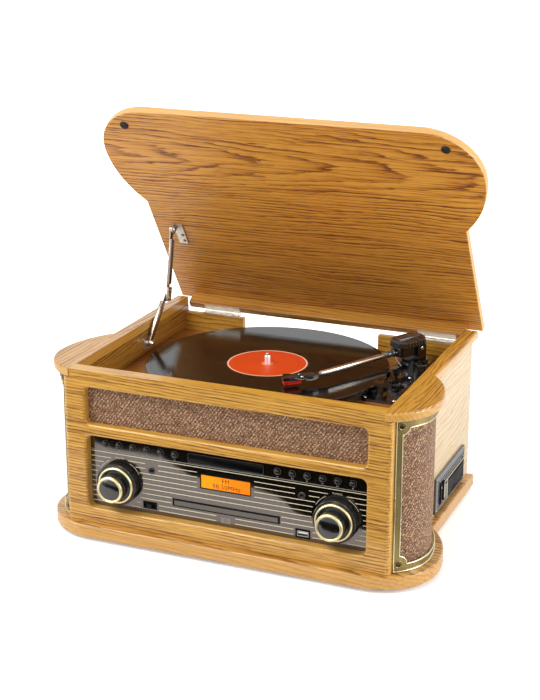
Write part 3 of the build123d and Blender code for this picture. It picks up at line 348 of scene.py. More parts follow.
def fill_weave(desk: NodeDesk, source: bpy.types.Node, sink: bpy.types.Node) -> None:
    """Coarse tweed: light and dark threads that cross in short diagonal runs.

    Args:
        desk: Where the nodes go.
        source: The group's inputs.
        sink: The group's outputs.
    """
    scaled = desk.vector_maths("SCALE", source.outputs["Vector"])
    desk.feed(scaled.inputs["Scale"], source.outputs["Threads"])
    x, y, _ = desk.split(scaled.outputs["Vector"])
    row = desk.maths("FLOOR", y)
    lean = desk.times(desk.plus(x, desk.times(row, 0.5)), 0.8)
    column = desk.maths("FLOOR", lean)
    cell = desk.add("ShaderNodeCombineXYZ")
    desk.feed(cell.inputs[0], column)
    desk.feed(cell.inputs[1], row)
    chance = desk.add("ShaderNodeTexWhiteNoise", noise_dimensions="2D")
    desk.feed(chance.inputs["Vector"], cell.outputs[0])
    count = desk.plus(column, desk.times(row, 2.0))
    order = desk.times(desk.maths("FLOORED_MODULO", count, 3.0), 0.5)
    bulges = [desk.maths("SINE", desk.times(desk.maths("FRACT", way), math.pi))
              for way in (lean, y)]
    height = desk.maths("POWER", desk.times(*bulges), 0.45)
    fuzz = desk.noise(scaled.outputs["Vector"], 1.7, 3.0, 0.6)
    # Gap marks where the cloth is painted darker as shade between the threads.
    desk.fill(sink, {
        "Thread": desk.plus(desk.times(chance.outputs["Value"], 0.68), desk.times(order, 0.32)),
        "Height": desk.plus(height, desk.times(fuzz, 0.5)),
        "Gap": desk.smooth(height, 0.55, 0.1),
        "Drift": desk.noise(source.outputs["Vector"], 22.0),
    })


def weave_group() -> bpy.types.NodeTree:
    """The weave that all the loudspeaker cloths share."""
    return shared_group(
        "speaker_weave",
        [("Vector", VECTOR), ("Threads", FLOAT)],
        [("Thread", FLOAT), ("Height", FLOAT), ("Gap", FLOAT), ("Drift", FLOAT)],
        fill_weave,
    )


def new_material(name: str) -> tuple[bpy.types.Material, NodeDesk, bpy.types.Node]:
    """Start a material with an empty surface shader."""
    material = bpy.data.materials.new(name)
    material.use_nodes = True
    return material, NodeDesk(material.node_tree), material.node_tree.nodes["Principled BSDF"]


def bumped(desk: NodeDesk, shader: bpy.types.Node, height: Feed, strength: float,
           depth: float = 0.0001) -> None:
    """Give a shader relief."""
    bump = desk.add("ShaderNodeBump")
    desk.fill(bump, {"Strength": strength, "Distance": depth, "Height": height})
    desk.feed(shader.inputs["Normal"], bump.outputs["Normal"])


# Finishes

UNSCALED = (1.0, 1.0, 1.0)
LID_OPEN = math.radians(57.0)
# Reaches from the middle where the painted light on the walls' outer faces and the painted shade
# on their inner faces begin, in metres.
WALL_OUTSIDE = (0.2008, 0.2020)
WALL_INSIDE = (0.1930, 0.1923)
GROOVE_PITCH = 0.00075
# Pitch of the broad rings of painted sheen on the record.
BAND_PITCH = 0.0047
TRACK_PITCH = 0.0182
TRACKS_START = 0.0565


@dataclass(frozen=True)
class OakFinish:
    """Satin lacquered oak veneer on one board.

    broad is the axis of the grain's pattern that its wide faces look along.
    """

    name: str
    axis: GrainAxis = GrainAxis.ALONG_X
    shift: Point = (0.0, 0.0, 0.0)
    waviness: float = 0.035
    slope: float = 0.03
    rings: float = 190.0
    light: str = "DCA845"
    middle: str = "C68F30"
    dark: str = "784310"
    gloss: float = 0.3
    broad: int = 2
    lacquer: float = 0.6
    lacquer_spread: float = 0.12
    # Share of painted highlight, pale cream, on the board's edges.
    painted_edge_highlight: float = 0.0
    # Paints light on the side walls' outer faces and shade on their inner faces.
    painted_wall_light_and_shade: bool = False

    def turn(self) -> Point:
        """Rotation that lays the board's grain along the pattern's X."""
        turns = {
            GrainAxis.ALONG_X: (0.0, 0.0, 0.0),
            GrainAxis.ALONG_Y: (0.0, 0.0, math.pi / 2),
            GrainAxis.LID: (LID_OPEN, 0.0, 0.0),
        }
        return turns[self.axis]

    def on_the_face(self, desk: NodeDesk) -> Socket:
        """One on the board's broad faces and nought on its edges, where the lines are faint."""
        facing = desk.add("ShaderNodeTexCoord").outputs["Normal"]
        axes = desk.split(desk.stretched(facing, UNSCALED, turn=self.turn()))
        return desk.smooth(desk.maths("ABSOLUTE", axes[self.broad]), 0.3, 0.8)

    def sides(self, desk: NodeDesk, wood: Feed, tone: Feed) -> Socket:
        """Painted light on a wall's outer face and painted shade on its inner face."""
        reach = desk.maths("ABSOLUTE", desk.split(desk.here())[0])
        painted_light = desk.between(desk.times(tone, 0.45), paint("D6BA8A"), paint("9E6D34"))
        shaded = desk.between(desk.times(desk.smooth(reach, *WALL_INSIDE), 0.55), wood,
                              paint("5E300A"))
        return desk.between(desk.smooth(reach, *WALL_OUTSIDE), shaded, painted_light)

    def material(self) -> bpy.types.Material:
        """Build the veneer's material."""
        material, desk, shader = new_material(self.name)
        grain = desk.grouped(grain_group(), {
            "Vector": desk.stretched(desk.here(), UNSCALED, self.shift, self.turn()),
            "Waviness": self.waviness, "Slope": self.slope, "Rings": self.rings,
        })
        face = self.on_the_face(desk)
        tone = desk.times(grain["Tone"], desk.plus(desk.times(face, 0.6), 0.4))
        colour = desk.ramp(tone, [
            (0.0, paint(self.light)), (0.34, paint(self.middle)), (1.0, paint(self.dark)),
        ])
        wood = desk.between(desk.smooth(grain["Drift"], 0.3, 0.75), colour,
                            desk.between(0.16, colour, paint(self.dark)))
        # Painted highlight: the edges are mixed towards pale cream.
        if self.painted_edge_highlight:
            edge = desk.times(desk.less(1.0, face), self.painted_edge_highlight)
            wood = desk.between(edge, wood, paint("F4DCA6"))
        # Painted light on the side walls' outer faces and painted shade on their inner faces.
        if self.painted_wall_light_and_shade:
            wood = self.sides(desk, wood, grain["Tone"])
        rough = desk.plus(desk.times(grain["Tone"], 0.14),
                          desk.times(marks_on(desk)["Smudge"], 0.07))
        desk.fill(shader, {
            "Base Color": wood, "Roughness": desk.plus(rough, self.gloss),
            "Coat Weight": self.lacquer, "Coat Roughness": self.lacquer_spread,
        })
        bumped(desk, shader, grain["Height"], 0.15, 0.0002)
        return material


@dataclass(frozen=True)
class MouldedFinish:
    """Moulded plastic or rubber."""

    name: str
    base: str = "121212"
    worn: str = "1E1E1E"
    gloss: float = 0.35
    spread: float = 0.15
    relief: float = 0.12
    coat: float = 0.0
    specular: float = 0.5
    tint: str = "FFFFFF"
    index: float = 1.5

    def material(self) -> bpy.types.Material:
        """Build the plastic's material."""
        material, desk, shader = new_material(self.name)
        marks = marks_on(desk)
        share = desk.plus(desk.times(marks["Mottle"], 0.6), desk.times(marks["Scuff"], 0.5),
                          clamp=True)
        desk.fill(shader, {
            "Base Color": desk.between(share, paint(self.base), paint(self.worn)),
            "Roughness": desk.plus(desk.times(marks["Smudge"], self.spread), self.gloss),
            "Coat Weight": self.coat, "Coat Roughness": 0.06,
            "Specular IOR Level": self.specular, "Specular Tint": paint(self.tint),
            "IOR": self.index,
        })
        bumped(desk, shader, marks["Mottle"], self.relief)
        return material


@dataclass(frozen=True)
class MetalFinish:
    """Plated, pressed or polished metal."""

    name: str
    bright: str = "D8D6D2"
    dull: str = "8C8A86"
    gloss: float = 0.18
    spread: float = 0.12
    brushed: Point = (60.0, 60.0, 60.0)
    relief: float = 0.05
    dulling: float = 0.5

    def material(self) -> bpy.types.Material:
        """Build the metal's material."""
        material, desk, shader = new_material(self.name)
        marks = marks_on(desk)
        lines = desk.noise(desk.stretched(desk.here(), self.brushed), 1.0, 3.0, 0.6)
        share = desk.plus(desk.times(desk.smooth(lines, 0.3, 0.75), self.dulling),
                          desk.times(marks["Scuff"], 0.5), clamp=True)
        rough = desk.times(desk.plus(lines, marks["Smudge"]), self.spread)
        desk.fill(shader, {
            "Base Color": desk.between(share, paint(self.bright), paint(self.dull)),
            "Metallic": 1.0, "Roughness": desk.plus(rough, self.gloss),
        })
        bumped(desk, shader, lines, self.relief)
        return material


@dataclass(frozen=True)
class ClothFinish:
    """Coarse woven loudspeaker cloth, laid out by the piece's own UV map."""

    name: str
    threads: float = 860.0

    def material(self) -> bpy.types.Material:
        """Build the cloth's material."""
        material, desk, shader = new_material(self.name)
        where = desk.add("ShaderNodeUVMap").outputs["UV"]
        weave = desk.grouped(weave_group(), {"Vector": where, "Threads": self.threads})
        colour = desk.ramp(weave["Thread"], [
            (0.0, paint("472C1C")), (0.2, paint("6A4730")), (0.36, paint("8C6347")),
            (0.58, paint("A2795A")), (0.72, paint("CBA479")), (0.86, paint("ECD2A6")),
        ], step=True)
        # Painted shade: the gaps between the threads are darkened.
        gap = desk.between(desk.times(weave["Gap"], 0.75), colour, paint("3A241B"))
        desk.fill(shader, {
            "Base Color": desk.between(desk.times(weave["Drift"], 0.25), gap, paint("8A6450")),
            "Roughness": desk.plus(desk.times(weave["Thread"], 0.12), 0.78),
            "Sheen Weight": 0.08, "Sheen Roughness": 0.5,
        })
        bumped(desk, shader, weave["Height"], 0.7, 0.0006)
        return material


@dataclass(frozen=True)
class DiscFinish:
    """Pressed disc with grooves in rings about the spindle."""

    name: str

    def radius(self, desk: NodeDesk) -> Socket:
        """Distance from the spindle, in metres."""
        middle = place(*SPINDLE, 0.0)
        moved = desk.stretched(desk.here(), (1.0, 1.0, 0.0), (-middle.x, -middle.y, 0.0))
        return desk.vector_maths("LENGTH", moved).outputs["Value"]

    def material(self) -> bpy.types.Material:
        """Build the record's material."""
        material, desk, shader = new_material(self.name)
        reach = self.radius(desk)
        groove, bands = (desk.maths("SINE", desk.times(reach, 2 * math.pi / pitch))
                         for pitch in (GROOVE_PITCH, BAND_PITCH))
        tracks = desk.maths("FRACT", desk.times(desk.less(reach, TRACKS_START), 1 / TRACK_PITCH))
        # Painted sheen: the smooth rim, the run-in by the label and the gaps between tracks are
        # painted lighter than the grooves, and broad rings are painted lighter and darker in turn.
        edge = desk.smooth(reach, 0.1462, 0.1470)
        inner = desk.smooth(reach, 0.0575, TRACKS_START)
        plain = desk.maths("MAXIMUM", desk.smooth(tracks, 0.055, 0.02),
                           desk.maths("MAXIMUM", edge, inner))
        shade = desk.times(desk.plus(bands, 1.0), 0.25)
        rough = desk.less(0.085, desk.times(plain, 0.04))
        desk.fill(shader, {
            "Base Color": desk.between(desk.maths("MAXIMUM", plain, shade),
                                       paint("0C0B0B"), paint("1B1918")),
            "Roughness": desk.plus(rough, desk.times(marks_on(desk)["Smudge"], 0.015)),
        })
        bumped(desk, shader, desk.times(groove, desk.less(1.0, plain)), 0.08, 0.00005)
        return material


@dataclass(frozen=True)
class LabelFinish(DiscFinish):
    """Plain orange paper label with a pale edge ring."""

    def material(self) -> bpy.types.Material:
        """Build the label's material."""
        material, desk, shader = new_material(self.name)
        reach = self.radius(desk)
        ring = desk.times(desk.smooth(reach, 0.0478, 0.0482), desk.smooth(reach, 0.0496, 0.0493))
        line = desk.times(desk.smooth(reach, 0.0388, 0.0390), desk.smooth(reach, 0.0396, 0.0394))
        hole = desk.smooth(reach, 0.0078, 0.0072)
        fibre = desk.noise(desk.here(), 600.0, 3.0, 0.6)
        paper = desk.between(fibre, paint("DE4C0A"), paint("CE3D05"))
        paper = desk.between(desk.times(line, 0.6), paper, paint("8E2405"))
        paper = desk.between(ring, paper, paint("F4D9B8"))
        desk.fill(shader, {
            "Base Color": desk.between(desk.times(hole, 0.5), paper, paint("F1B48E")),
            "Roughness": desk.plus(desk.times(fibre, 0.2), 0.38),
        })
        bumped(desk, shader, fibre, 0.1)
        return material


@dataclass(frozen=True)
class GlowFinish:
    """Lit amber display under its clear window."""

    name: str
    bright: str = "FF9A12"
    deep: str = "DE6A00"
    strength: float = 0.42

    def material(self) -> bpy.types.Material:
        """Build the lit panel's material."""
        material, desk, shader = new_material(self.name)
        side = desk.smooth(desk.split(desk.here())[0], 0.03, -0.031)
        cloud = desk.noise(desk.here(), 45.0)
        share = desk.plus(desk.times(side, 0.6), desk.times(cloud, 0.4), clamp=True)
        colour = desk.between(share, paint(self.deep), paint(self.bright))
        desk.fill(shader, {
            "Base Color": colour, "Emission Color": colour, "Emission Strength": self.strength,
            "Specular IOR Level": 0.15, "Roughness": desk.plus(desk.times(cloud, 0.1), 0.12),
        })
        return material


@dataclass
class FinishShelf:
    """Every finish, built once and found by name."""

    made: dict[str, bpy.types.Material] = field(default_factory=dict)

    def stock(self, *finishes: object) -> None:
        """Build materials from finishes, which have a name and a material method."""
        for finish in finishes:
            self.made[finish.name] = finish.material()

    def dress(self, piece: Piece, name: str) -> None:
        """Give a piece one finish all over."""
        slots = piece.data.materials
        if not len(slots):
            slots.append(self.made[name])
        for i in range(len(slots)):
            slots[i] = self.made[name]


# Modelling moves


def object_mode() -> None:
    """Leave edit mode if it is on."""
    active = bpy.context.view_layer.objects.active
    if active is not None and active.mode != "OBJECT":
        bpy.ops.object.mode_set(mode="OBJECT")


def all_deselected() -> None:
    """Leave edit mode and deselect every object."""
    object_mode()
    bpy.ops.object.select_all(action="DESELECT")


def only(piece: Piece) -> None:
    """Select one object alone and make it active."""
    all_deselected()
    piece.select_set(True)
    bpy.context.view_layer.objects.active = piece


def begin(name: str) -> Piece:
    """Start a piece as one point at the origin, in edit mode."""
    all_deselected()
    bpy.ops.mesh.primitive_plane_add(size=MM, location=(0, 0, 0))
    piece = bpy.context.object
    piece.name = name
    bpy.ops.object.mode_set(mode="EDIT")
    bpy.ops.mesh.select_all(action="SELECT")
    bpy.ops.mesh.merge(type="CENTER")
    return piece


def trace(points: Sequence[Sequence[float]]) -> None:
    """Run the selected point along a line of points, in millimetres."""
    spots = [Vector(p) * MM for p in points]
    bpy.ops.transform.translate(value=spots[0])
    for here, there in zip(spots, spots[1:]):
        bpy.ops.mesh.extrude_region_move(TRANSFORM_OT_translate={"value": there - here})


def turned(name: str, profile: Sequence[Flat], steps: int = 48) -> Piece:
    """Turn a profile about Z, as on a lathe.

    Args:
        name: The piece's name.
        profile: Radius and height along the profile, in millimetres.
        steps: How many facets round.

    Returns:
        The turned piece, about the origin.
    """
    piece = begin(name)
    trace([(r, 0.0, z) for r, z in profile])
    bpy.ops.mesh.select_all(action="SELECT")
    bpy.ops.mesh.spin(steps=steps, angle=2 * math.pi, center=(0, 0, 0), axis=(0, 0, 1))
    bpy.ops.mesh.select_all(action="SELECT")
    bpy.ops.mesh.remove_doubles(threshold=2e-6)
    bpy.ops.mesh.normals_make_consistent(inside=False)
    object_mode()
    return piece


def raised(name: str, outline: Sequence[Flat], height: float, edge: float = 0.0,
           segments: int = 2) -> Piece:
    """Raise a flat outline into a solid, and soften its edges.

    Args:
        name: The piece's name.
        outline: Corners in millimetres, in order.
        height: How far it is raised.
        edge: Width of the softened edge, or 0.
        segments: Facets across the softened edge.

    Returns:
        The piece, standing on the plane of X and Y.
    """
    piece = begin(name)
    trace([(x, y, 0.0) for x, y in outline])
    bpy.ops.mesh.select_all(action="SELECT")
    bpy.ops.mesh.edge_face_add()
    bpy.ops.mesh.extrude_region_move(TRANSFORM_OT_translate={"value": (0, 0, height * MM)})
    bpy.ops.mesh.select_all(action="SELECT")
    bpy.ops.mesh.normals_make_consistent(inside=False)
    if edge > 0:
        bpy.ops.mesh.bevel(offset=edge * MM, segments=segments, affect="EDGES")
    object_mode()
    return piece


def blocks(name: str, boxes: Iterable[tuple[Point, Point]], edge: float = 0.0) -> Piece:
    """Put one or more boxes in one piece, between opposite corners.

    Args:
        name: The piece's name.
        boxes: Pairs of corners in millimetres.
        edge: Width of the softened edges, or 0.

    Returns:
        The piece.
    """
    piece = begin(name)
    bpy.ops.mesh.delete(type="VERT")
    for low, high in boxes:
        middle = [(a + b) / 2 * MM for a, b in zip(low, high)]
        size = [abs(b - a) * MM for a, b in zip(low, high)]
        bpy.ops.mesh.primitive_cube_add(size=1.0, location=middle, scale=size)
    bpy.ops.mesh.select_all(action="SELECT")
    if edge > 0:
        bpy.ops.mesh.bevel(offset=edge * MM, segments=2, affect="EDGES")
    object_mode()
    return piece


def standing(facing: Facing, spot: Vector) -> Matrix:
    """Where a piece drawn upright about the origin goes."""
    turns = {
        Facing.UP: Matrix.Identity(4),
        Facing.FRONT: Matrix.Rotation(math.pi / 2, 4, "X"),
        Facing.RIGHT: Matrix.Rotation(math.pi / 2, 4, "Z") @ Matrix.Rotation(math.pi / 2, 4, "X"),
    }
    return Matrix.Translation(spot) @ turns[facing]


def settle(piece: Piece, matrix: Matrix) -> Piece:
    """Move a piece's mesh, leaving its object at the origin."""
    piece.data.transform(matrix)
    piece.data.update()
    return piece


def copy_of(piece: Piece, name: str) -> Piece:
    """Copy a piece with its own mesh."""
    twin = piece.copy()
    twin.data = piece.data.copy()
    twin.name = name
    bpy.context.scene.collection.objects.link(twin)
    return twin


def joined(name: str, pieces: Sequence[Piece]) -> Piece:
    """Join pieces into one."""
    all_deselected()
    for piece in pieces:
        piece.select_set(True)
    bpy.context.view_layer.objects.active = pieces[0]
    bpy.ops.object.join()
    pieces[0].name = name
    return pieces[0]


def smoothed(piece: Piece, angle: float = 35.0) -> Piece:
    """Shade a piece smooth, keeping its sharp edges."""
    only(piece)
    bpy.ops.object.shade_smooth_by_angle(angle=math.radians(angle))
    return piece


def wire(name: str, points: Sequence[Vector], radius: float, closed: bool = False,
         facets: int = 2) -> Piece:
    """Bend a round bar along points in the frame.

    Args:
        name: The piece's name.
        points: Where it runs, in metres.
        radius: The bar's radius in millimetres.
        closed: Whether it ends where it starts.
        facets: Fineness round the bar.

    Returns:
        The bar as a mesh.
    """
    line = bpy.data.curves.new(name, "CURVE")
    line.dimensions = "3D"
    line.bevel_depth = radius * MM
    line.bevel_resolution = facets
    line.use_fill_caps = not closed
    run = line.splines.new("POLY")
    run.points.add(len(points) - 1)
    for knot, spot in zip(run.points, points):
        knot.co = (*spot, 1.0)
    run.use_cyclic_u = closed
    bar = bpy.data.objects.new(name, line)
    bpy.context.scene.collection.objects.link(bar)
    only(bar)
    bpy.ops.object.convert(target="MESH")
    return smoothed(bpy.context.object, 60.0)


def ring_points(radius: float, count: int, start: float = 0.0, sweep: float = 360.0) -> list[Flat]:
    """Points round a circle, in millimetres.

    Args:
        radius: The circle's radius.
        count: How many points.
        start: First angle in degrees.
        sweep: Angle covered in degrees.

    Returns:
        The points.
    """
    whole = abs(sweep) >= 360.0
    steps = count if whole else count - 1
    angles = [math.radians(start + sweep * i / steps) for i in range(count)]
    return [(radius * math.cos(a), radius * math.sin(a)) for a in angles]


def cross_screw(name: str, radius: float, rise: float = 1.0) -> Piece:
    """Domed screw head with a cross recess, standing on the origin.

    Args:
        name: The piece's name.
        radius: The head's radius in millimetres.
        rise: The head's height.

    Returns:
        The screw head.
    """
    head = turned(name, [
        (0.0, -0.6), (radius * 0.9, -0.6), (radius, 0.0), (radius * 0.92, rise * 0.5),
        (radius * 0.66, rise * 0.88), (radius * 0.3, rise), (0.0, rise),
    ], 24)
    slot, arm, foot, top = radius * 0.2, radius * 0.62, rise * 0.35, rise + 1.0
    cutter = blocks(name + "_slot", [
        ((-arm, -slot, foot), (arm, slot, top)), ((-slot, -arm, foot), (slot, arm, top)),
    ])
    only(head)
    cut = head.modifiers.new("recess", "BOOLEAN")
    cut.operation = "DIFFERENCE"
    cut.object = cutter
    cut.solver = "EXACT"
    cut.use_self = True
    bpy.ops.object.modifier_apply(modifier=cut.name)
    bpy.data.objects.remove(cutter)
    return smoothed(head, 40.0)


def scattered(name: str, pattern: Piece, poses: Iterable[Matrix]) -> Piece:
    """Copy a pattern to several places and join the copies."""
    return joined(name, [settle(copy_of(pattern, "copy"), pose) for pose in poses])


def slab(x: Flat, y: Flat, z: Flat) -> tuple[Point, Point]:
    """Corners of a box between two ends along each axis, with the frame's own Y."""
    return ((x[0], y[0] - MIDDLE_SHIFT, z[0]), (x[1], y[1] - MIDDLE_SHIFT, z[1]))


def rounded_rectangle(half_x: float, half_y: float, corner: float) -> list[Flat]:
    """Corners of a rectangle with rounded corners, in order.

    Args:
        half_x: Half its width.
        half_y: Half its height.
        corner: Radius of the corners.

    Returns:
        The points.
    """
    points: list[Flat] = []
    for start, cx, cy in ((0, 1, 1), (90, -1, 1), (180, -1, -1), (270, 1, -1)):
        points += [(cx * (half_x - corner) + x, cy * (half_y - corner) + y)
                   for x, y in ring_points(corner, 5, start, 90.0)]
    return points


def cloth_sheet(name: str, cuts: tuple[int, int], size: Flat, middle: float,
                lay: Callable[[float, float], Vector]) -> Piece:
    """Divide a rectangle of cloth finely, map it and lay each point in its place.

    Args:
        name: The piece's name.
        cuts: Divisions along and up.
        size: Width and height of the cloth in millimetres.
        middle: The cloth's middle on its map, as a share of its size.
        lay: Gives a point's place from its distance along and up the cloth.

    Returns:
        The cloth, without thickness.
    """
    width, height = size
    all_deselected()
    bpy.ops.mesh.primitive_grid_add(x_subdivisions=cuts[0], y_subdivisions=cuts[1], size=1.0,
                                    location=(0, 0, 0), calc_uvs=True)
    sheet = bpy.context.object
    sheet.name = name
    for loop in sheet.data.loops:
        spot = sheet.data.vertices[loop.vertex_index].co
        sheet.data.uv_layers[0].data[loop.index].uv = (
            (spot.x + middle) * width * MM, (spot.y + middle) * height * MM)
    for vertex in sheet.data.vertices:
        vertex.co = lay((vertex.co.x + 0.5) * width, (vertex.co.y + 0.5) * height)
    return sheet


def thickened(sheet: Piece, thickness: float) -> None:
    """Give a cloth its thickness, half of it on each side."""
    only(sheet)
    layer = sheet.modifiers.new("thickness", "SOLIDIFY")
    layer.thickness = thickness * MM
    layer.offset = 0.0
    bpy.ops.object.modifier_apply(modifier=layer.name)


@dataclass
class SubAssembly:
    """What every sub-assembly has: the shelf of finishes and its list of pieces."""

    shelf: FinishShelf
    pieces: list[str] = field(default_factory=list)

    def keep(self, piece: Piece, body: str, finish: str, slot: str,
             instead_of: Sequence[str] = ()) -> None:
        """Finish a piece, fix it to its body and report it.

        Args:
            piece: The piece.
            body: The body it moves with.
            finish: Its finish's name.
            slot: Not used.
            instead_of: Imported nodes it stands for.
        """
        self.shelf.dress(piece, finish)
        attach(piece, body)
        if instead_of:
            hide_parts(*instead_of)
        self.pieces.append(piece.name)
        log.info("%s on %s", piece.name, body)

    def keep_screws(self, name: str, radius: float, rise: float, poses: Iterable[Matrix],
                    body: str, finish: str, slot: str) -> None:
        """Make cross screws and keep them as one piece.

        Args:
            name: The piece's name.
            radius: Each head's radius.
            rise: Each head's height.
            poses: Where they stand.
            body: The body they move with.
            finish: Their finish's name.
            slot: The record's material slot.
        """
        pattern = cross_screw("screw", radius, rise)
        self.keep(scattered(name, pattern, poses), body, finish, slot)
        bpy.data.objects.remove(pattern)

    def dress(self, finish: str, *nodes: str) -> None:
        """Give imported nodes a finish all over."""
        for node in nodes:
            self.shelf.dress(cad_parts[node], finish)


# Columns, cloths and boards


@dataclass(frozen=True)
class ColumnFace:
    """The two arcs that round a front corner, and places on them."""

    front_x: float = 173.0
    rear_x: float = 116.0
    middle_y: float = -96.0
    front_radius: float = 59.0
    rear_radius: float = 116.0
    wall_outer: float = 202.4
    panel_half: float = 203.2
    low: float = 20.0
    high: float = 202.4

    def front_run(self) -> float:
        """Length of the front arc."""
        return self.front_radius * math.acos((self.panel_half - self.front_x) / self.front_radius)

    def whole_run(self) -> float:
        """Length of both arcs."""
        rear = self.rear_radius * math.acos((self.wall_outer - self.rear_x) / self.rear_radius)
        return self.front_run() + rear

    def spot(self, along: float, z: float, lift: float, side: int) -> Vector:
        """Place on the face.

        Args:
            along: Distance round the face from its front edge.
            z: Height.
            lift: Distance out from the face, inwards if negative.
            side: 1 for the right column, -1 for the left.

        Returns:
            The place in the frame.
        """
        front = self.front_run()
        centre, radius = self.rear_x, self.rear_radius
        if along <= front:
            centre, radius = self.front_x, self.front_radius
        angle = (along - front) / radius
        x = centre + (radius + lift) * math.cos(angle)
        return place(side * x, self.middle_y + (radius + lift) * math.sin(angle), z)

    def outward(self, along: float, side: int) -> float:
        """Direction straight out of the face, as an angle about Z."""
        front = self.front_run()
        angle = (along - front) / (self.front_radius if along <= front else self.rear_radius)
        return angle if side > 0 else math.pi - angle


@dataclass
class CornerColumns(SubAssembly):
    """Pressed frames, their raised lips and screws, and the cloth behind them."""

    face: ColumnFace = field(default_factory=ColumnFace)
    stile: float = 8.6
    rail: float = 9.5
    scallop: float = 10.0
    inset: float = 7.6
    screw_heights: Flat = (29.9, 195.0)
    lip: float = 0.85
    lip_lift: float = 0.25
    border: float = 1.0
    border_inset: Flat = (1.7, 1.2)
    border_lift: float = 0.2
    cloth_sink: float = 3.1
    cloth_thick: float = 0.8
    cup: tuple[Flat, ...] = (
        (2.6, -1.2), (4.9, -1.2), (4.9, 0.5), (4.4, 1.0), (3.9, 1.0), (3.4, 0.4), (2.6, 0.1),
        (2.6, -1.2),
    )

    def window_outline(self) -> list[Flat]:
        """Outline of the frame's opening, as distance round and height."""
        whole = self.face.whole_run()
        left, right = self.stile, whole - self.stile
        low, high = self.face.low + self.rail, self.face.high - self.rail
        foot, head = self.screw_heights
        outline: list[Flat] = []
        corners = [
            (self.inset, foot, left, low, 1, 1), (whole - self.inset, foot, right, low, -1, 1),
            (whole - self.inset, head, right, high, -1, -1), (self.inset, head, left, high, 1, -1),
        ]
        for centre_s, centre_z, edge_s, edge_z, out, up in corners:
            first = math.asin(max(-1.0, min(1.0, (edge_z - centre_z) / self.scallop)) * up)
            last = math.acos(max(-1.0, min(1.0, (edge_s - centre_s) / self.scallop * out)))
            steps = 9
            arc = []
            for i in range(steps + 1):
                angle = first + (last - first) * i / steps
                arc.append((centre_s + out * self.scallop * math.cos(angle),
                            centre_z + up * self.scallop * math.sin(angle)))
            outline += arc[::-1] if out == up else arc
        return outline

    def wrapped(self, outline: Sequence[Flat], side: int, lift: float,
                step: float = 3.0) -> list[Vector]:
        """Lay a closed outline on the column, with points close enough to bend.

        Args:
            outline: Distance round and height of each corner.
            side: 1 for the right column, -1 for the left.
            lift: Distance out from the face.
            step: Longest distance between points.

        Returns:
            Points in the frame.
        """
        points: list[Vector] = []
        for (s0, z0), (s1, z1) in zip(outline, [*outline[1:], outline[0]]):
            count = max(1, math.ceil(abs(s1 - s0) / step))
            for share in (i / count for i in range(count)):
                along, z = s0 + (s1 - s0) * share, z0 + (z1 - z0) * share
                points.append(self.face.spot(along, z, lift, side))
        return points

    def lips(self) -> None:
        """Raised lips along the opening and the outer edge of each frame, in a paler brass painted
        as a highlight.
        """
        across, up = self.border_inset
        left, right = across, self.face.whole_run() - across
        low, high = self.face.low + up, self.face.high - up
        border = [(left, low), (right, low), (right, high), (left, high)]
        for side, word in SIDES:
            opening = self.wrapped(self.window_outline(), side, self.lip_lift)
            inner = wire(f"grille_lip_{word}", opening, self.lip, closed=True)
            outer = wire(f"grille_border_{word}", self.wrapped(border, side, self.border_lift),
                         self.border, closed=True)
            lip = joined(f"grille_lip_{word}", [inner, outer])
            self.keep(lip, "cabinet", "brass_painted_highlight", "antique_brass")

    def screw_pose(self, along: float, z: float, side: int) -> Matrix:
        """Where a corner's washer and screw stand, each screw turned differently."""
        return (Matrix.Translation(self.face.spot(along, z, 0.0, side))
                @ Matrix.Rotation(self.face.outward(along, side), 4, "Z")
                @ Matrix.Rotation(math.pi / 2, 4, "Y") @ Matrix.Rotation(along + z, 4, "Z"))

    def screws(self) -> None:
        """A cupped washer and a cross screw at each corner of each frame."""
        cup = smoothed(turned("grille_cup", self.cup, 32), 50.0)
        for side, word in SIDES:
            poses = [self.screw_pose(along, z, side)
                     for along in (self.inset, self.face.whole_run() - self.inset)
                     for z in self.screw_heights]
            self.keep(scattered(f"grille_cups_{word}", cup, poses), "cabinet", "brass_aged",
                      "antique_brass")
            self.keep_screws(f"grille_screws_{word}", 3.2, 1.1, poses, "cabinet", "screw_dark",
                             "antique_brass")
        bpy.data.objects.remove(cup)

    def cloth(self, side: int, word: str) -> Piece:
        """Curved cloth stretched behind one frame.

        Args:
            side: 1 for the right column, -1 for the left.
            word: The side's name.

        Returns:
            The cloth.
        """
        length = self.face.whole_run()
        height = self.face.high - self.face.low

        def lay(along: float, up: float) -> Vector:
            """Place of a point on the curve behind the frame."""
            return self.face.spot(along, self.face.low + up, -self.cloth_sink, side)

        sheet = cloth_sheet(f"speaker_cloth_{word}", (60, 40), (length, height), 0.5, lay)
        if side < 0:
            only(sheet)
            bpy.ops.object.mode_set(mode="EDIT")
            bpy.ops.mesh.select_all(action="SELECT")
            bpy.ops.mesh.flip_normals()
            object_mode()
        thickened(sheet, self.cloth_thick)
        smoothed(sheet, 50.0)
        return sheet

    def build(self) -> None:
        """Build and dress both columns."""
        self.dress("brass_aged", "corner_grilles")
        self.dress("driver_black", "speaker_drivers")
        self.lips()
        self.screws()
        for side, word in SIDES:
            self.keep(self.cloth(side, word), "cabinet", "speaker_cloth", "speaker_cloth",
                      ["speaker_cloths"])


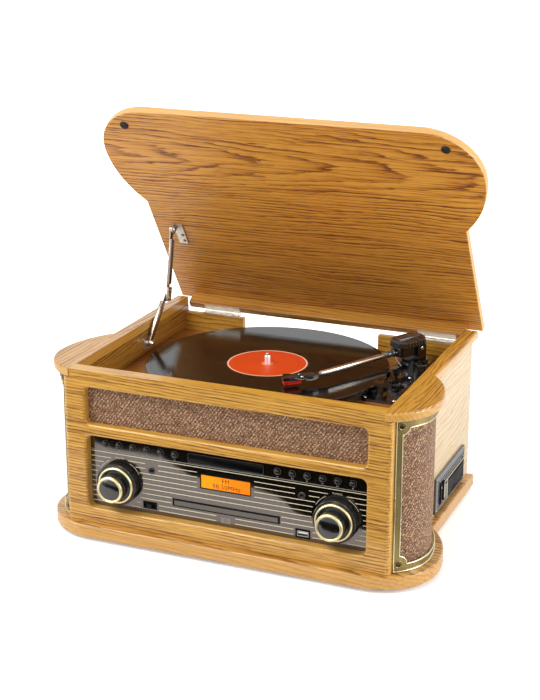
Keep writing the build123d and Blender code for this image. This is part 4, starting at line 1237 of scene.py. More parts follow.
@dataclass
class FrontCloth(SubAssembly):
    """Cloth in the long upper window, and a dark board behind it."""

    half: float = 180.1
    low: float = 140.7
    high: float = 196.9
    cloth_y: float = -146.0
    cloth_thick: float = 0.7
    board_y: Flat = (-145.5, -141.5)

    def lay(self, along: float, up: float) -> Vector:
        """Place of a point of the cloth."""
        return place(along - self.half, self.cloth_y, self.low + up)

    def build(self) -> None:
        """Build the board and stretch the cloth in front of it."""
        front, back = self.board_y
        board = blocks("speaker_board", [
            ((-self.half, front, self.low), (self.half, back, self.high)),
        ], 0.4)
        self.keep(board, "cabinet", "driver_black", "driver_paper")
        width, height = 2 * self.half, self.high - self.low
        sheet = cloth_sheet("speaker_cloth_front", (90, 14), (width, height), 0.0, self.lay)
        thickened(sheet, self.cloth_thick)
        self.keep(sheet, "cabinet", "speaker_cloth", "speaker_cloth", ["speaker_cloths"])


@dataclass
class WoodCabinet(SubAssembly):
    """The wooden boards and the rubber parts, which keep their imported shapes."""

    finishes: tuple[tuple[str, ...], ...] = (
        ("oak_front", "front_panel"),
        ("oak_base", "base_board"),
        ("oak_side", "side_walls"),
        ("oak_cap", "side_caps"),
        ("oak_rear", "rear_wall"),
        ("oak_floor", "deck_board"),
        ("oak_lid", "lid_board"),
        ("oak_batten", "lid_batten"),
        ("black_rubber", "rubber_feet", "lid_bumpers"),
    )

    def build(self) -> None:
        """Dress them."""
        for finish, *nodes in self.finishes:
            self.dress(finish, *nodes)


# The control front

PRINT_GAPS = (
    (-36.0, 36.0, 80.5, 105.0), (-103.0, -86.0, 90.5, 105.5), (86.0, 103.0, 90.5, 105.5),
    (-69.5, 69.5, 54.0, 66.2), (-110.0, -86.0, 44.5, 56.5), (84.5, 108.0, 42.5, 57.5),
    (-12.0, 12.0, 43.0, 53.0),
)
TRANSPORT_MARKS: tuple[tuple[tuple[Flat, ...], ...], ...] = (
    (((-1.2, 0), (1.2, 0), (1.2, 0.8), (-1.2, 0.8)),),
    (((-1.4, 0), (-0.4, 0), (-0.4, 1.6), (-1.4, 1.6)),
     ((0.4, 0), (1.4, 0), (1.4, 1.6), (0.4, 1.6))),
    (((-1.0, 0), (1.2, 0.9), (-1.0, 1.8)),),
    (((1.0, 0), (-1.2, 0.9), (1.0, 1.8)),),
    (((-1.5, 0), (0.0, 0.9), (-1.5, 1.8)), ((0.1, 0), (1.6, 0.9), (0.1, 1.8))),
    (((-0.9, 0), (0.9, 0), (0.9, 1.7), (-0.9, 1.7)),),
)
JACK_COLLAR = (
    (1.75, -2.0), (4.1, -2.0), (4.1, 0.45), (3.7, 0.8), (2.5, 0.8), (2.1, 0.4), (1.75, 0.2),
    (1.75, -2.0),
)
JACK_BORE = ((0.0, -9.0), (1.7, -9.0), (1.7, -8.4), (0.0, -8.4))
BUTTON_DOME = (
    (0.0, -3.0), (3.4, -3.0), (3.4, 2.0), (3.25, 2.55), (2.8, 3.0), (2.0, 3.35), (1.0, 3.55),
    (0.0, 3.6),
)
BUTTON_RING = (
    (3.75, -0.5), (4.5, -0.5), (4.5, 0.15), (4.3, 0.4), (3.95, 0.4), (3.75, 0.15), (3.75, -0.5),
)


@dataclass
class ControlFront(SubAssembly):
    """Printed fascia with its plate, display, sockets, buttons, drawer and switch."""

    front: float = -145.2
    half: float = 174.9
    line_top: float = 109.3
    line_pitch: float = 6.35
    line_count: int = 11
    line_width: float = 0.85
    line_margin: float = 0.6
    shortest_line: float = 2.0
    header: Flat = (111.3, 112.2)
    ink: float = 0.06
    knob_x: float = 137.0
    knob_z: float = 74.0
    clear_round_knob: float = 31.0
    dial_radii: Flat = (29.2, 28.6)
    dial_starts: Flat = (118.0, 28.0)
    dial_sweep: float = 34.0
    word_z: float = 103.6
    plate_z: float = 119.1
    display_z: float = 92.7
    digits_behind: float = 0.56
    jack_x: float = 94.5
    jack_z: float = 95.4
    data_x: float = 96.1
    data_z: float = 48.5
    switch_x: float = -97.8
    switch_z: float = 50.7
    disc_z: float = 47.8
    button_first: float = 64.5
    button_pitch: float = 18.17
    button_z: float = 120.1
    mark_drop: float = 6.9

    def at(self, x: float, z: float, behind: float = 0.0) -> Matrix:
        """Where a piece drawn upright stands on the fascia, or a little behind its face."""
        return standing(Facing.FRONT, place(x, self.front + behind, z))

    def strip(self, x: Flat, z: Flat, rise: float, behind: float = 0.0) -> tuple[Point, Point]:
        """Corners of a box on the fascia."""
        return slab(x, (self.front - rise, self.front + behind), z)

    def edging(self, name: str, z: float, outline: Sequence[Flat], rise: float,
               radius: float) -> Piece:
        """Thin closed rim on the fascia."""
        points = [place(x, self.front - rise, z + up) for x, up in outline]
        return wire(name, points, radius, closed=True, facets=1)

    def surround(self, name: str, middle: Flat, outer: Flat, hole: Flat, rise: float,
                 behind: float = 0.0) -> Piece:
        """Flat frame of four strips round a hole.

        Args:
            name: The piece's name.
            middle: X and height of its middle.
            outer: Half its width and height.
            hole: Half the hole's width and height.
            rise: How far it stands out of the face.
            behind: How far it reaches in.

        Returns:
            The frame.
        """
        x, z = middle
        (wide, tall), (near, inside) = outer, hole
        return blocks(name, [
            self.strip((x + x0, x + x1), (z + z0, z + z1), rise, behind)
            for x0, x1, z0, z1 in (
                (-wide, wide, inside, tall), (-wide, wide, -tall, -inside),
                (-wide, -near, -inside, inside), (near, wide, -inside, inside),
            )
        ])

    def keep_outs(self, z: float) -> list[Flat]:
        """Stretches of X that a printed line at this height leaves out."""
        gaps = [(x0, x1) for x0, x1, z0, z1 in PRINT_GAPS if z0 < z < z1]
        reach = self.clear_round_knob ** 2 - (z - self.knob_z) ** 2
        if reach > 0:
            gaps += [(x - math.sqrt(reach), x + math.sqrt(reach))
                     for x in (-self.knob_x, self.knob_x)]
        return sorted(gaps)

    def lines(self) -> None:
        """Thin cream lines across the fascia, broken round its fittings."""
        strips = []
        for i in range(self.line_count):
            z = self.line_top - i * self.line_pitch
            reach = self.line_width / 2
            start = -self.half + self.line_margin
            for left, right in self.keep_outs(z) + [(self.half - self.line_margin, self.half)]:
                if left - start > self.shortest_line:
                    strips.append(self.strip((start, left), (z - reach, z + reach), self.ink))
                start = max(start, right)
        self.keep(blocks("fascia_lines", strips), "cabinet", "ink_cream", "fascia_gloss")
        rail = blocks("fascia_header_line", [
            self.strip((-self.half, self.half), self.header, self.ink),
        ])
        self.keep(rail, "cabinet", "ink_grey", "fascia_gloss")

    def dial_marks(self) -> None:
        """Two thin arcs above each knob, either side of its top."""
        arcs = []
        for side in (-1, 1):
            for start in self.dial_starts:
                outer, inner = (ring_points(r, 14, start, self.dial_sweep)
                                for r in self.dial_radii)
                arc = raised("dial_arc", outer + inner[::-1], self.ink)
                arcs.append(settle(arc, self.at(side * self.knob_x, self.knob_z)))
        self.keep(joined("dial_marks", arcs), "cabinet", "ink_cream", "fascia_gloss")

    def words(self) -> None:
        """Plain words over the two knobs and the digits in the display."""
        words = [self.lettering(text, x, self.word_z, 3.0, -self.ink)
                 for text, x in (("VOLUME", -self.knob_x), ("TUNING", self.knob_x))]
        self.keep(joined("fascia_words", words), "cabinet", "ink_cream", "fascia_gloss")
        digits = [self.lettering("FM", 0.0, 93.5, 7.8, self.digits_behind),
                  self.lettering("98.50MHz", 1.0, 86.3, 8.0, self.digits_behind)]
        self.keep(joined("display_digits", digits), "cabinet", "digit_dark", "display_glass")

    def lettering(self, text: str, x: float, z: float, size: float, behind: float) -> Piece:
        """Flat letters centred at a place on the fascia.

        Args:
            text: What is written.
            x: Middle of the words.
            z: Foot of the words.
            size: Height of the letters.
            behind: How far behind the face they lie.

        Returns:
            The letters as a mesh.
        """
        all_deselected()
        bpy.ops.object.text_add(location=(0, 0, 0))
        words = bpy.context.object
        words.data.body = text
        words.data.align_x = "CENTER"
        words.data.size = size * MM
        words.data.extrude = 0.02 * MM
        words.data.space_character = 1.08
        bpy.ops.object.convert(target="MESH")
        return settle(bpy.context.object, self.at(x, z, behind))

    def button_x(self, side: int, i: int) -> float:
        """X of a button, counted from the middle outwards."""
        return side * (self.button_first + i * self.button_pitch)

    def marks_below_buttons(self) -> None:
        """Small plain transport marks under the buttons."""
        marks = []
        for side in (-1, 1):
            for i, parts in enumerate(TRANSPORT_MARKS):
                spot = self.at(self.button_x(side, i), self.button_z - self.mark_drop)
                marks += [settle(raised("mark", outline, self.ink), spot) for outline in parts]
        self.keep(joined("button_marks", marks), "cabinet", "ink_grey", "fascia_gloss")

    def plate(self) -> None:
        """Bare gloss plate in the recess between the buttons."""
        plate = raised("blank_plate", rounded_rectangle(46.6, 5.1, 1.2), 1.6, 0.35, 3)
        settle(plate, self.at(0.0, self.plate_z, 0.8))
        self.keep(smoothed(plate), "cabinet", "plate_black", "fascia_gloss")
        rim = self.edging("plate_rim", self.plate_z, rounded_rectangle(47.3, 5.8, 1.4), 0.1, 0.3)
        self.keep(rim, "cabinet", "edge_grey_and_highlight", "fascia_gloss")

    def display(self) -> None:
        """Lit amber window with a thin black frame."""
        self.dress("display_amber", "display_window")
        border = self.edging("display_border", self.display_z, rounded_rectangle(31.6, 8.7, 0.8),
                             0.05, 0.55)
        self.keep(border, "cabinet", "matte_black", "fascia_gloss")

    def jacks(self) -> None:
        """Black jacks in thin grey rings."""
        poses = [self.at(x, self.jack_z, -0.3) for x in (-self.jack_x, self.jack_x)]
        for name, word, profile, steps, finish in (
                ("jack_collars", "jack_collar", JACK_COLLAR, 36, "jack_black"),
                ("jack_bores", "jack_bore", JACK_BORE, 24, "matte_black")):
            part = turned(word, profile, steps)
            if finish == "jack_black":
                smoothed(part, 50.0)
            self.keep(scattered(name, part, poses), "cabinet", finish, "socket_metal")
            bpy.data.objects.remove(part)
        rings = []
        for pose in poses:
            outline = [pose @ (Vector((x, y, 0.5)) * MM) for x, y in ring_points(3.95, 36)]
            rings.append(wire("ring", outline, 0.3, closed=True, facets=1))
        self.keep(joined("jack_rings", rings), "cabinet", "edge_grey_and_highlight", "socket_metal")

    def data_socket(self) -> None:
        """The data socket's frame, tongue and contacts."""
        x, z = self.data_x, self.data_z
        frame_part = self.surround("data_frame", (x, z), (9.0, 5.6), (6.9, 3.3), 0.45, 0.4)
        self.keep(frame_part, "cabinet", "matte_black", "socket_metal")
        tongue = blocks("data_tongue", [self.strip((x - 5.6, x + 5.6), (z, z + 1.9), -0.3, 6.8)],
                        0.15)
        self.keep(tongue, "cabinet", "contact_white", "socket_metal")
        contacts = blocks("data_contacts", [
            self.strip((x + i * 2.5 - 0.6, x + i * 2.5 + 0.6), (z - 0.12, z + 0.1), -0.4, 6.2)
            for i in (-1.5, -0.5, 0.5, 1.5)
        ])
        self.keep(contacts, "cabinet", "gold_bright", "socket_metal")

    def disc_mark(self) -> None:
        """Small plain printed tile with rings below the drawer."""
        tile = raised("tile", rounded_rectangle(6.0, 3.6, 0.6), self.ink)
        settle(tile, self.at(0.0, self.disc_z))
        self.keep(tile, "cabinet", "ink_grey", "fascia_gloss")
        rings = []
        for outer, inner in ((2.7, 2.2), (1.1, 0.6)):
            outline = ring_points(outer, 28) + [(outer, -0.001), (inner, -0.001)]
            outline += ring_points(inner, 28)[::-1]
            ring = raised("ring", outline, self.ink)
            rings.append(settle(ring, self.at(0.0, self.disc_z, -self.ink)))
        self.keep(joined("disc_mark", rings), "cabinet", "gloss_black", "fascia_gloss")

    def edges(self) -> None:
        """Painted shade: matte black strips round the drawer and a matte black frame round the
        slide switch; and the switch's ridged cap.
        """
        # Painted shade in the gap round the drawer.
        strips = [self.strip(x, z, self.ink) for x, z in (
            ((-68.0, 68.0), (63.6, 65.0)), ((-68.0, 68.0), (55.2, 56.3)),
            ((-68.0, -66.1), (56.3, 63.6)), ((66.1, 68.0), (56.3, 63.6)),
        )]
        self.keep(blocks("drawer_gap_shade", strips), "cabinet", "matte_black", "fascia_gloss")
        x, z = self.switch_x, self.switch_z
        # Painted shade in the recess round the switch.
        plate = self.surround("switch_recess_shade", (x, z), (9.0, 4.6), (7.8, 2.4), 0.3)
        self.keep(plate, "cabinet", "matte_black", "button_black")
        ridges = blocks("switch_ridges", [
            self.strip((x + offset - 0.35, x + offset + 0.35), (z - 2.1, z + 2.1), 3.3, -2.4)
            for offset in (-2.2, -0.75, 0.75, 2.2)
        ], 0.12)
        self.keep(ridges, "source_switch", "switch_black", "button_black")

    def buttons(self) -> None:
        """Glossy domed buttons, each in a thin ring."""
        dome = smoothed(turned("button_dome", BUTTON_DOME, 32), 60.0)
        ring = smoothed(turned("button_ring", BUTTON_RING, 32), 50.0)
        spots = []
        for side, word in SIDES[::-1]:
            for i in range(len(TRANSPORT_MARKS)):
                spots.append(self.at(self.button_x(side, i), self.button_z))
                node = f"button_{word}_{i + 1}"
                piece = settle(copy_of(dome, f"{node}_dome"), spots[-1])
                self.keep(piece, f"{node}_body", "button_gloss", "button_black", [node])
        # The rings' grey is partly their own colour and partly a painted highlight.
        self.keep(scattered("button_rings", ring, spots), "cabinet", "edge_grey_and_highlight", "fascia_gloss")
        bpy.data.objects.remove(dome)
        bpy.data.objects.remove(ring)

    def build(self) -> None:
        """Build and dress the whole front."""
        self.dress("gloss_black", "fascia_panel")
        self.dress("drawer_gloss", "cd_drawer")
        self.dress("switch_black", "function_switch")
        self.dress("inner_grey", "cd_mechanism", "cassette_mechanism")
        self.dress("board_green", "board_and_transformer")
        self.dress("socket_metal", "sockets")
        self.lines()
        self.dial_marks()
        self.words()
        self.marks_below_buttons()
        self.plate()
        self.display()
        self.jacks()
        self.data_socket()
        self.disc_mark()
        self.edges()
        self.buttons()


KNOB_CORE = (
    (0.0, -15.0), (3.0, -15.0), (3.0, 0.9), (22.6, 0.9), (22.6, 11.2), (21.0, 12.4), (17.6, 12.8),
    (16.4, 13.2), (15.0, 13.4), (15.0, 24.0), (0.0, 24.0),
)
KNOB_CAP = (
    (0.0, 24.3), (13.4, 24.3), (13.4, 26.6), (12.8, 27.0), (10.8, 27.6), (8.4, 28.1), (5.6, 28.5),
    (2.8, 28.7), (0.0, 28.75),
)
KNOB_RING = (
    (19.4, 9.6), (22.0, 9.6), (22.8, 10.6), (22.9, 12.0), (22.3, 13.1), (21.2, 13.8), (20.3, 13.7),
    (19.6, 13.0), (19.3, 11.0), (19.4, 9.6),
)
KNOB_CAP_RING = (
    (12.9, 24.0), (15.8, 24.0), (16.5, 24.9), (16.6, 26.2), (16.1, 27.4), (15.0, 28.1),
    (13.9, 28.0),
    (13.1, 27.2), (12.9, 24.0),
)


@dataclass
class RotaryKnob(SubAssembly):
    """Fluted black knob with bright rings, in two tiers."""

    word: str = "volume"
    x: float = -137.0
    z: float = 74.0
    front: float = -145.2
    flutes: int = 90
    turn: float = -42.0

    def fluted(self, name: str, radius: float, low: float, high: float, depth: float,
               edge: float) -> Piece:
        """Round block with fine upright flutes.

        Args:
            name: The piece's name.
            radius: Its outer radius.
            low: Height of its foot.
            high: Height of its top.
            depth: How deep the flutes are.
            edge: Width of the softened rim.

        Returns:
            The block, about the origin.
        """
        crests = ring_points(radius, self.flutes * 2)
        valleys = ring_points(radius - depth, self.flutes * 2)
        outline = [(crests if i % 2 else valleys)[i] for i in range(self.flutes * 2)]
        block = raised(name, outline, high - low)
        settle(block, Matrix.Translation((0, 0, low * MM)))
        only(block)
        bpy.ops.object.mode_set(mode="EDIT")
        bpy.ops.mesh.select_all(action="DESELECT")
        object_mode()
        top = max(v.co.z for v in block.data.vertices)
        for face in block.data.polygons:
            face.select = face.normal.z > 0.9 and face.center.z > top - 1e-6
        bpy.ops.object.mode_set(mode="EDIT")
        bpy.ops.mesh.inset(thickness=edge * MM, depth=0.0)
        bpy.ops.transform.translate(value=(0, 0, edge * 0.7 * MM))
        object_mode()
        return block

    def build(self) -> None:
        """Build the knob and hang it on its shaft."""
        spot = standing(Facing.FRONT, place(self.x, self.front, self.z))
        turn = Matrix.Rotation(math.radians(self.turn), 4, "Z")
        collar = self.fluted("collar", 26.0, 0.8, 9.4, 0.6, 1.0)
        tier = self.fluted("tier", 16.6, 11.6, 24.6, 0.3, 0.6)
        core = turned("core", KNOB_CORE, 64)
        pointer = blocks("pointer", [((-1.5, 20.5, 1.2), (1.5, 26.5, 9.9))], 0.3)
        settle(pointer, turn)
        body = joined(f"{self.word}_knob_body", [collar, tier, core, pointer])
        settle(body, spot)
        self.keep(smoothed(body, 28.0), self.word, "knob_black", "knob_black",
                  [f"{self.word}_knob"])
        cap = settle(turned(f"{self.word}_knob_cap", KNOB_CAP, 64), spot)
        self.keep(smoothed(cap, 60.0), self.word, "knob_cap", "knob_black")
        rings = joined(f"{self.word}_knob_rings",
                       [turned("outer", KNOB_RING, 72), turned("edge", KNOB_CAP_RING, 72)])
        settle(rings, spot)
        self.keep(smoothed(rings, 60.0), self.word, "gold_bright", "knob_black")
        mark = blocks(f"{self.word}_knob_pointer", [((-0.3, 22.4, 9.85), (0.3, 26.0, 10.1))])
        settle(mark, spot @ turn)
        self.keep(mark, self.word, "ink_grey", "knob_black")


# The deck


@dataclass
class Turntable(SubAssembly):
    """Platter, mat, record with its label, and the bright spindle."""

    cap: tuple[Flat, ...] = (
        (0.0, 184.8), (3.66, 184.8), (3.66, 193.6), (3.3, 194.8), (2.6, 196.4), (1.6, 197.3),
        (0.7, 197.65), (0.0, 197.7),
    )

    def build(self) -> None:
        """Dress the disc and put the spindle's bright cap on it."""
        self.dress("moulded_black", "platter")
        self.dress("mat_rubber", "slip_mat")
        self.dress("record_vinyl", "record")
        self.dress("label_paper", "record_label")
        self.dress("drive_metal", "motor_pulley", "turntable_drive")
        tip = settle(turned("spindle_cap", self.cap, 32), Matrix.Translation(place(*SPINDLE, 0.0)))
        self.keep(smoothed(tip, 60.0), "turntable", "spindle_bright", "platter_plastic")


ARM_PIPE = ((0.0, 48.0), (3.0, 48.0), (3.3, 48.4), (3.3, 157.2), (2.8, 158.0), (0.0, 158.0))
ARM_COLLAR = (
    (0.0, 38.0), (4.2, 38.0), (4.2, 40.4), (3.9, 40.8), (4.2, 41.2), (4.2, 48.2), (3.9, 48.8),
    (0.0, 48.8),
)


@dataclass
class Tonearm(SubAssembly):
    """Arm, its bearing, rest and levers."""

    pivot: Flat = (140.0, 124.0)
    swing: float = 27.7
    tube_height: float = 196.0
    shell_joint: float = 158.0
    shell_turn: float = -20.0
    cue_turn: float = -62.0
    plate_top: float = 173.0

    def along_arm(self, u: float = 0.0, v: float = 0.0, z: float = 0.0) -> Matrix:
        """Where a piece lies that is drawn along X, from u along the arm and v to its side."""
        turn = Matrix.Rotation(math.radians(270.0 - self.swing), 4, "Z")
        pivot = Matrix.Translation(place(*self.pivot, 0.0)) @ turn
        return pivot @ Matrix.Translation(Vector((u, v, z)) * MM)

    def along_shell(self) -> Matrix:
        """Where a piece drawn along X from the tube's end lies."""
        turn = Matrix.Rotation(math.radians(self.shell_turn), 4, "Z")
        return self.along_arm(self.shell_joint) @ turn

    def tube(self) -> None:
        """Bright tube with its black collar."""
        lying = self.along_arm(z=self.tube_height) @ Matrix.Rotation(math.pi / 2, 4, "Y")
        pipe = settle(turned("tonearm_pipe", ARM_PIPE, 40), lying)
        self.keep(smoothed(pipe, 40.0), "arm", "tube_bright", "arm_tube_metal", ["tonearm_tube"])
        # The collar is in the lighter grey, partly a painted highlight.
        collar = settle(turned("tonearm_collar", ARM_COLLAR, 40), lying)
        self.keep(smoothed(collar, 40.0), "arm", "arm_grey_and_highlight", "arm_tube_metal")

    def head_fittings(self) -> None:
        """Raised bar, clamp block, pivot screws and side ribs on the arm's head."""
        # The bar and ribs are in the lighter grey, a painted highlight on the black head.
        bar = blocks("head_bar", [((-8.0, -5.0, 211.3), (31.0, 5.0, 213.0))], 0.7)
        self.keep(smoothed(settle(bar, self.along_arm())), "arm", "arm_grey_and_highlight", "arm_black")
        clamp = blocks("head_clamp", [((22.0, -7.5, 190.5), (33.0, 7.5, 202.9)),
                                      ((8.0, -8.6, 192.0), (20.0, 8.6, 197.0))], 0.9)
        self.keep(smoothed(settle(clamp, self.along_arm())), "arm", "arm_black", "arm_black")
        ribs = blocks("head_ribs", [
            ((u, side * 15.2 - 0.7, 204.4), (u + 2.0, side * 15.2 + 0.7, 210.2))
            for u in (-2.0, 3.0, 8.0, 13.0, 18.0, 23.0) for side in (-1, 1)
        ], 0.25)
        self.keep(settle(ribs, self.along_arm()), "arm", "arm_grey_and_highlight", "arm_black")
        self.keep_screws("pivot_screws", 2.6, 0.9, [
            self.along_arm(0.0, side * 13.0, 198.0) @ Matrix.Rotation(-side * math.pi / 2, 4, "X")
            for side in (-1, 1)
        ], "arm_base", "chrome", "arm_black")

    def shell_fittings(self) -> None:
        """Finger lift, two small screws, lead wires, ridges and trim of the headshell."""
        shell = self.along_shell()
        lift = wire("finger_lift", [shell @ (Vector(p) * MM) for p in (
            (34.0, 6.0, 195.6), (31.0, 9.5, 195.4), (27.0, 12.5, 195.8), (22.0, 14.0, 197.0),
        )], 0.8)
        self.keep(lift, "arm", "arm_grey_and_highlight", "arm_black")
        self.keep_screws("shell_screws", 1.7, 0.9, [
            shell @ Matrix.Translation(Vector((25.0, v, 196.6)) * MM) for v in (-4.5, 4.5)
        ], "arm", "chrome", "arm_black")
        leads = []
        for v in (-2.4, -0.8, 0.8, 2.4):
            path = [(3.0, v * 0.7, 192.6), (8.0, v * 1.2, 190.6), (13.0, v * 1.4, 190.3),
                    (19.0, v, 190.8)]
            leads.append(wire("lead", [shell @ (Vector(p) * MM) for p in path], 0.45, facets=1))
        self.keep(joined("cartridge_leads", leads), "arm", "contact_white", "arm_black")
        ridge = blocks("shell_ridges", [((8.0, -3.4, 196.4), (40.0, -2.6, 197.2)),
                                        ((8.0, 2.6, 196.4), (40.0, 3.4, 197.2))], 0.25)
        self.keep(settle(ridge, shell), "arm", "arm_grey_and_highlight", "arm_black")
        trim = blocks("cartridge_trim", [((26.0, -5.6, 190.6), (46.0, 5.6, 191.2))], 0.1)
        self.keep(settle(trim, shell), "arm", "arm_black", "cartridge_red")

    def plate_fittings(self) -> None:
        """Covers, legend and screws on the plate, and the deck's own screws."""
        top = self.plate_top
        covers = blocks("plate_covers", [slab(x, y, (top, top + rise)) for x, y, rise in (
            ((120.5, 130.5), (66.0, 96.0), 5.5), ((156.0, 161.0), (8.0, 60.0), 3.0),
            ((119.5, 127.0), (4.0, 44.0), 3.2), ((156.0, 161.5), (106.0, 150.0), 6.0),
        )], 0.8)
        self.keep(smoothed(covers), "cabinet", "arm_black", "arm_black")
        legend = blocks("plate_legend", [
            slab(x, (y, y + 0.5), (top, top + 0.12))
            for x, marks in (((136.0, 138.6), (52.0, 56.0, 60.0, 64.0)),
                             ((145.5, 148.0), (28.0, 34.0, 40.0)))
            for y in marks
        ])
        self.keep(legend, "cabinet", "ink_grey", "arm_black")
        self.keep_screws("plate_screws", 2.6, 1.0, [
            Matrix.Translation(place(x, y, top)) @ Matrix.Rotation(x + y, 4, "Z")
            for x, y in ((121.5, -12.0), (158.0, -12.0), (121.5, 150.0), (150.0, 74.0),
                         (127.5, 54.0))
        ], "cabinet", "chrome", "arm_black")
        self.keep_screws("deck_screws", 3.2, 1.6, [
            Matrix.Translation(place(x, y, 170.0))
            for x, y in ((-150.0, 128.0), (-150.0, -118.0), (96.0, -128.0))
        ], "cabinet", "chrome", "hardware_steel")

    def loop(self) -> None:
        """The arm's thin loop of wire."""
        spots = []
        for i in range(13):
            share = i / 12
            swell = math.sin(math.pi * share)
            spots.append(place(124.0 + 7.0 * share - 9.0 * swell, 116.0 - 18.0 * share,
                               196.0 - 18.0 * share + 3.0 * swell))
        self.keep(wire("arm_wire", spots, 0.55, facets=1), "arm_base", "contact_white",
                  "arm_black")

    def lever_tip(self) -> None:
        """Pale tip on the cue lever."""
        tip = blocks("cue_lever_tip", [((19.5, -3.6, 6.0), (23.5, 3.6, 6.9))], 0.3)
        turn = Matrix.Rotation(math.radians(self.cue_turn), 4, "Z")
        settle(tip, Matrix.Translation(place(152.0, 96.0, 182.3)) @ turn)
        self.keep(tip, "cue", "arm_grey_and_highlight", "arm_black")

    def build(self) -> None:
        """Dress the arm's parts and add its small fittings."""
        self.dress("arm_black", "tonearm_plate", "tonearm_turret", "tonearm_head", "headshell",
                   "arm_clip", "cue_lever", "speed_lever", "auto_stop_lever")
        self.dress("cartridge_red", "cartridge")
        self.tube()
        self.head_fittings()
        self.shell_fittings()
        self.plate_fittings()
        self.loop()
        self.lever_tip()


# The lid's hardware and the cassette bay

RIVET = ((0.0, -0.4), (2.2, -0.4), (2.2, 0.3), (1.7, 0.8), (0.9, 1.0), (0.0, 1.05))
WALL_RIVET = (
    (0.0, -0.2), (4.4, -0.2), (4.7, 0.4), (4.5, 1.6), (3.6, 2.8), (2.0, 3.5), (0.0, 3.8),
)
LID_RIVET = ((0.0, -0.2), (3.9, -0.2), (4.1, 0.3), (3.8, 1.2), (2.6, 1.9), (0.0, 2.1))


@dataclass
class LidHardware(SubAssembly):
    """Hinges with their screws, and the folded arms of the stay."""

    hinge_starts: tuple[float, float] = (-168.0, 130.0)
    hinge_length: float = 51.0
    hinge_axis: Flat = (168.8, 196.0)
    strip: float = 1.3
    width: float = 8.0
    fold: float = 0.55
    lower_pivot: Flat = (38.0, 186.0)
    lower_length: float = 72.0
    lower_angle: float = 47.04
    lower_x: float = -187.6
    upper_pivot: Flat = (103.02, 321.17)
    upper_length: float = 84.0
    upper_angle: float = 259.05
    upper_x: float = -185.3
    head_clear: float = 12.5

    def lying(self, pivot: Flat, angle: float, x: float) -> Matrix:
        """Where a piece drawn along X from a pivot lies, by its degrees up from straight back."""
        a = math.radians(angle)
        along = Vector((0.0, math.cos(a), math.sin(a)))
        across = Vector((0.0, -math.sin(a), math.cos(a)))
        turn = Matrix((along, across, Vector((1.0, 0.0, 0.0)))).transposed().to_4x4()
        return Matrix.Translation(place(x, *pivot)) @ turn

    def arm(self, name: str, length: float, low: float, folds: Flat) -> Piece:
        """Pressed arm: a strip with round ends and two folded edges.

        Args:
            name: The piece's name.
            length: Distance between its rivets.
            low: Height of the strip's underside.
            folds: Foot and top of the folded edges.

        Returns:
            The arm, drawn along X from its first rivet.
        """
        half = self.width / 2
        outline = ring_points(half, 13, 90.0, 180.0)
        outline += [(length + x, y) for x, y in ring_points(half, 13, -90.0, 180.0)]
        strip = raised(name, outline, self.strip, 0.25)
        settle(strip, Matrix.Translation((0, 0, low * MM)))
        middle = half - self.fold
        sides = blocks(name + "_folds", [
            ((self.head_clear, side * middle - self.fold, folds[0]),
             (length - self.head_clear, side * middle + self.fold, folds[1]))
            for side in (-1, 1)
        ], 0.3)
        return joined(name, [strip, sides])

    def stay(self) -> None:
        """Both arms and their joint housing."""
        lower = self.arm("stay_lower_channel", self.lower_length, 0.7, (-2.3, 2.0))
        settle(lower, self.lying(self.lower_pivot, self.lower_angle, self.lower_x))
        self.keep(smoothed(lower), "stay_lower", "stay_steel", "hardware_steel",
                  ["stay_lower_arm"])
        upper = self.arm("stay_upper_channel", self.upper_length, 0.0, (0.0, 3.6))
        near, far = self.upper_length - 9.0, self.upper_length + 9.0
        house = blocks("house", [
            ((near, -4.9, 0.2), (far, -3.7, 4.4)), ((near, 3.7, 0.2), (far, 4.9, 4.4)),
            ((near, -4.4, 3.2), (far, 4.4, 4.4)),
        ], 0.4)
        upper = joined("stay_upper_channel", [upper, house])
        pose = self.lying(self.upper_pivot, self.upper_angle, self.upper_x)
        settle(upper, pose)
        self.keep(smoothed(upper), "stay_upper", "stay_steel", "hardware_steel",
                  ["stay_upper_arm"])
        rivet = turned("rivet", RIVET, 24)
        dots = scattered("stay_rivets", rivet, [
            pose @ Matrix.Translation(Vector((self.upper_length + u, 0.0, 4.4)) * MM)
            for u in (-5.5, 5.0)
        ])
        self.keep(smoothed(dots), "stay_upper", "dark_chrome", "hardware_steel")
        bpy.data.objects.remove(rivet)

    def end_rivets(self) -> None:
        """The stay's rivets in the wall and in the lid's bracket."""
        for name, profile, x, pivot, body in (
                ("stay_wall_rivet", WALL_RIVET, -184.9, self.lower_pivot, "cabinet"),
                ("stay_lid_rivet", LID_RIVET, -181.3, self.upper_pivot, "lid")):
            head = settle(turned(name, profile, 32), standing(Facing.RIGHT, place(x, *pivot)))
            self.keep(smoothed(head, 50.0), body, "chrome", "hardware_steel")

    def screws(self) -> None:
        """Screws in the hinge leaves and in the stay's lid bracket."""
        self.keep_screws("hinge_screws", 2.4, 0.5, [
            Matrix.Translation(place(start + self.hinge_length * (i + 0.5) / 3, 161.75, 195.35))
            @ Matrix.Rotation(0.6 * i + start, 4, "Z")
            for start in self.hinge_starts for i in range(3)
        ], "cabinet", "hinge_nickel", "hardware_steel")
        hinge = Matrix.Translation(place(0.0, *self.hinge_axis))
        opened = hinge @ Matrix.Rotation(-LID_OPEN, 4, "X") @ hinge.inverted()
        self.keep_screws("bracket_screws", 2.4, 0.5, [
            opened @ Matrix.Translation(place(-174.5, y, 213.4)) @ Matrix.Rotation(math.pi, 4, "X")
            for y in (42.0, 52.0)
        ], "lid", "dark_chrome", "hardware_steel")

    def build(self) -> None:
        """Dress the metal and add the arms and screws."""
        self.dress("hinge_nickel", "cabinet_hinge_leaves", "lid_hardware", "stay_wall_bracket")
        self.stay()
        self.end_rivets()
        self.screws()


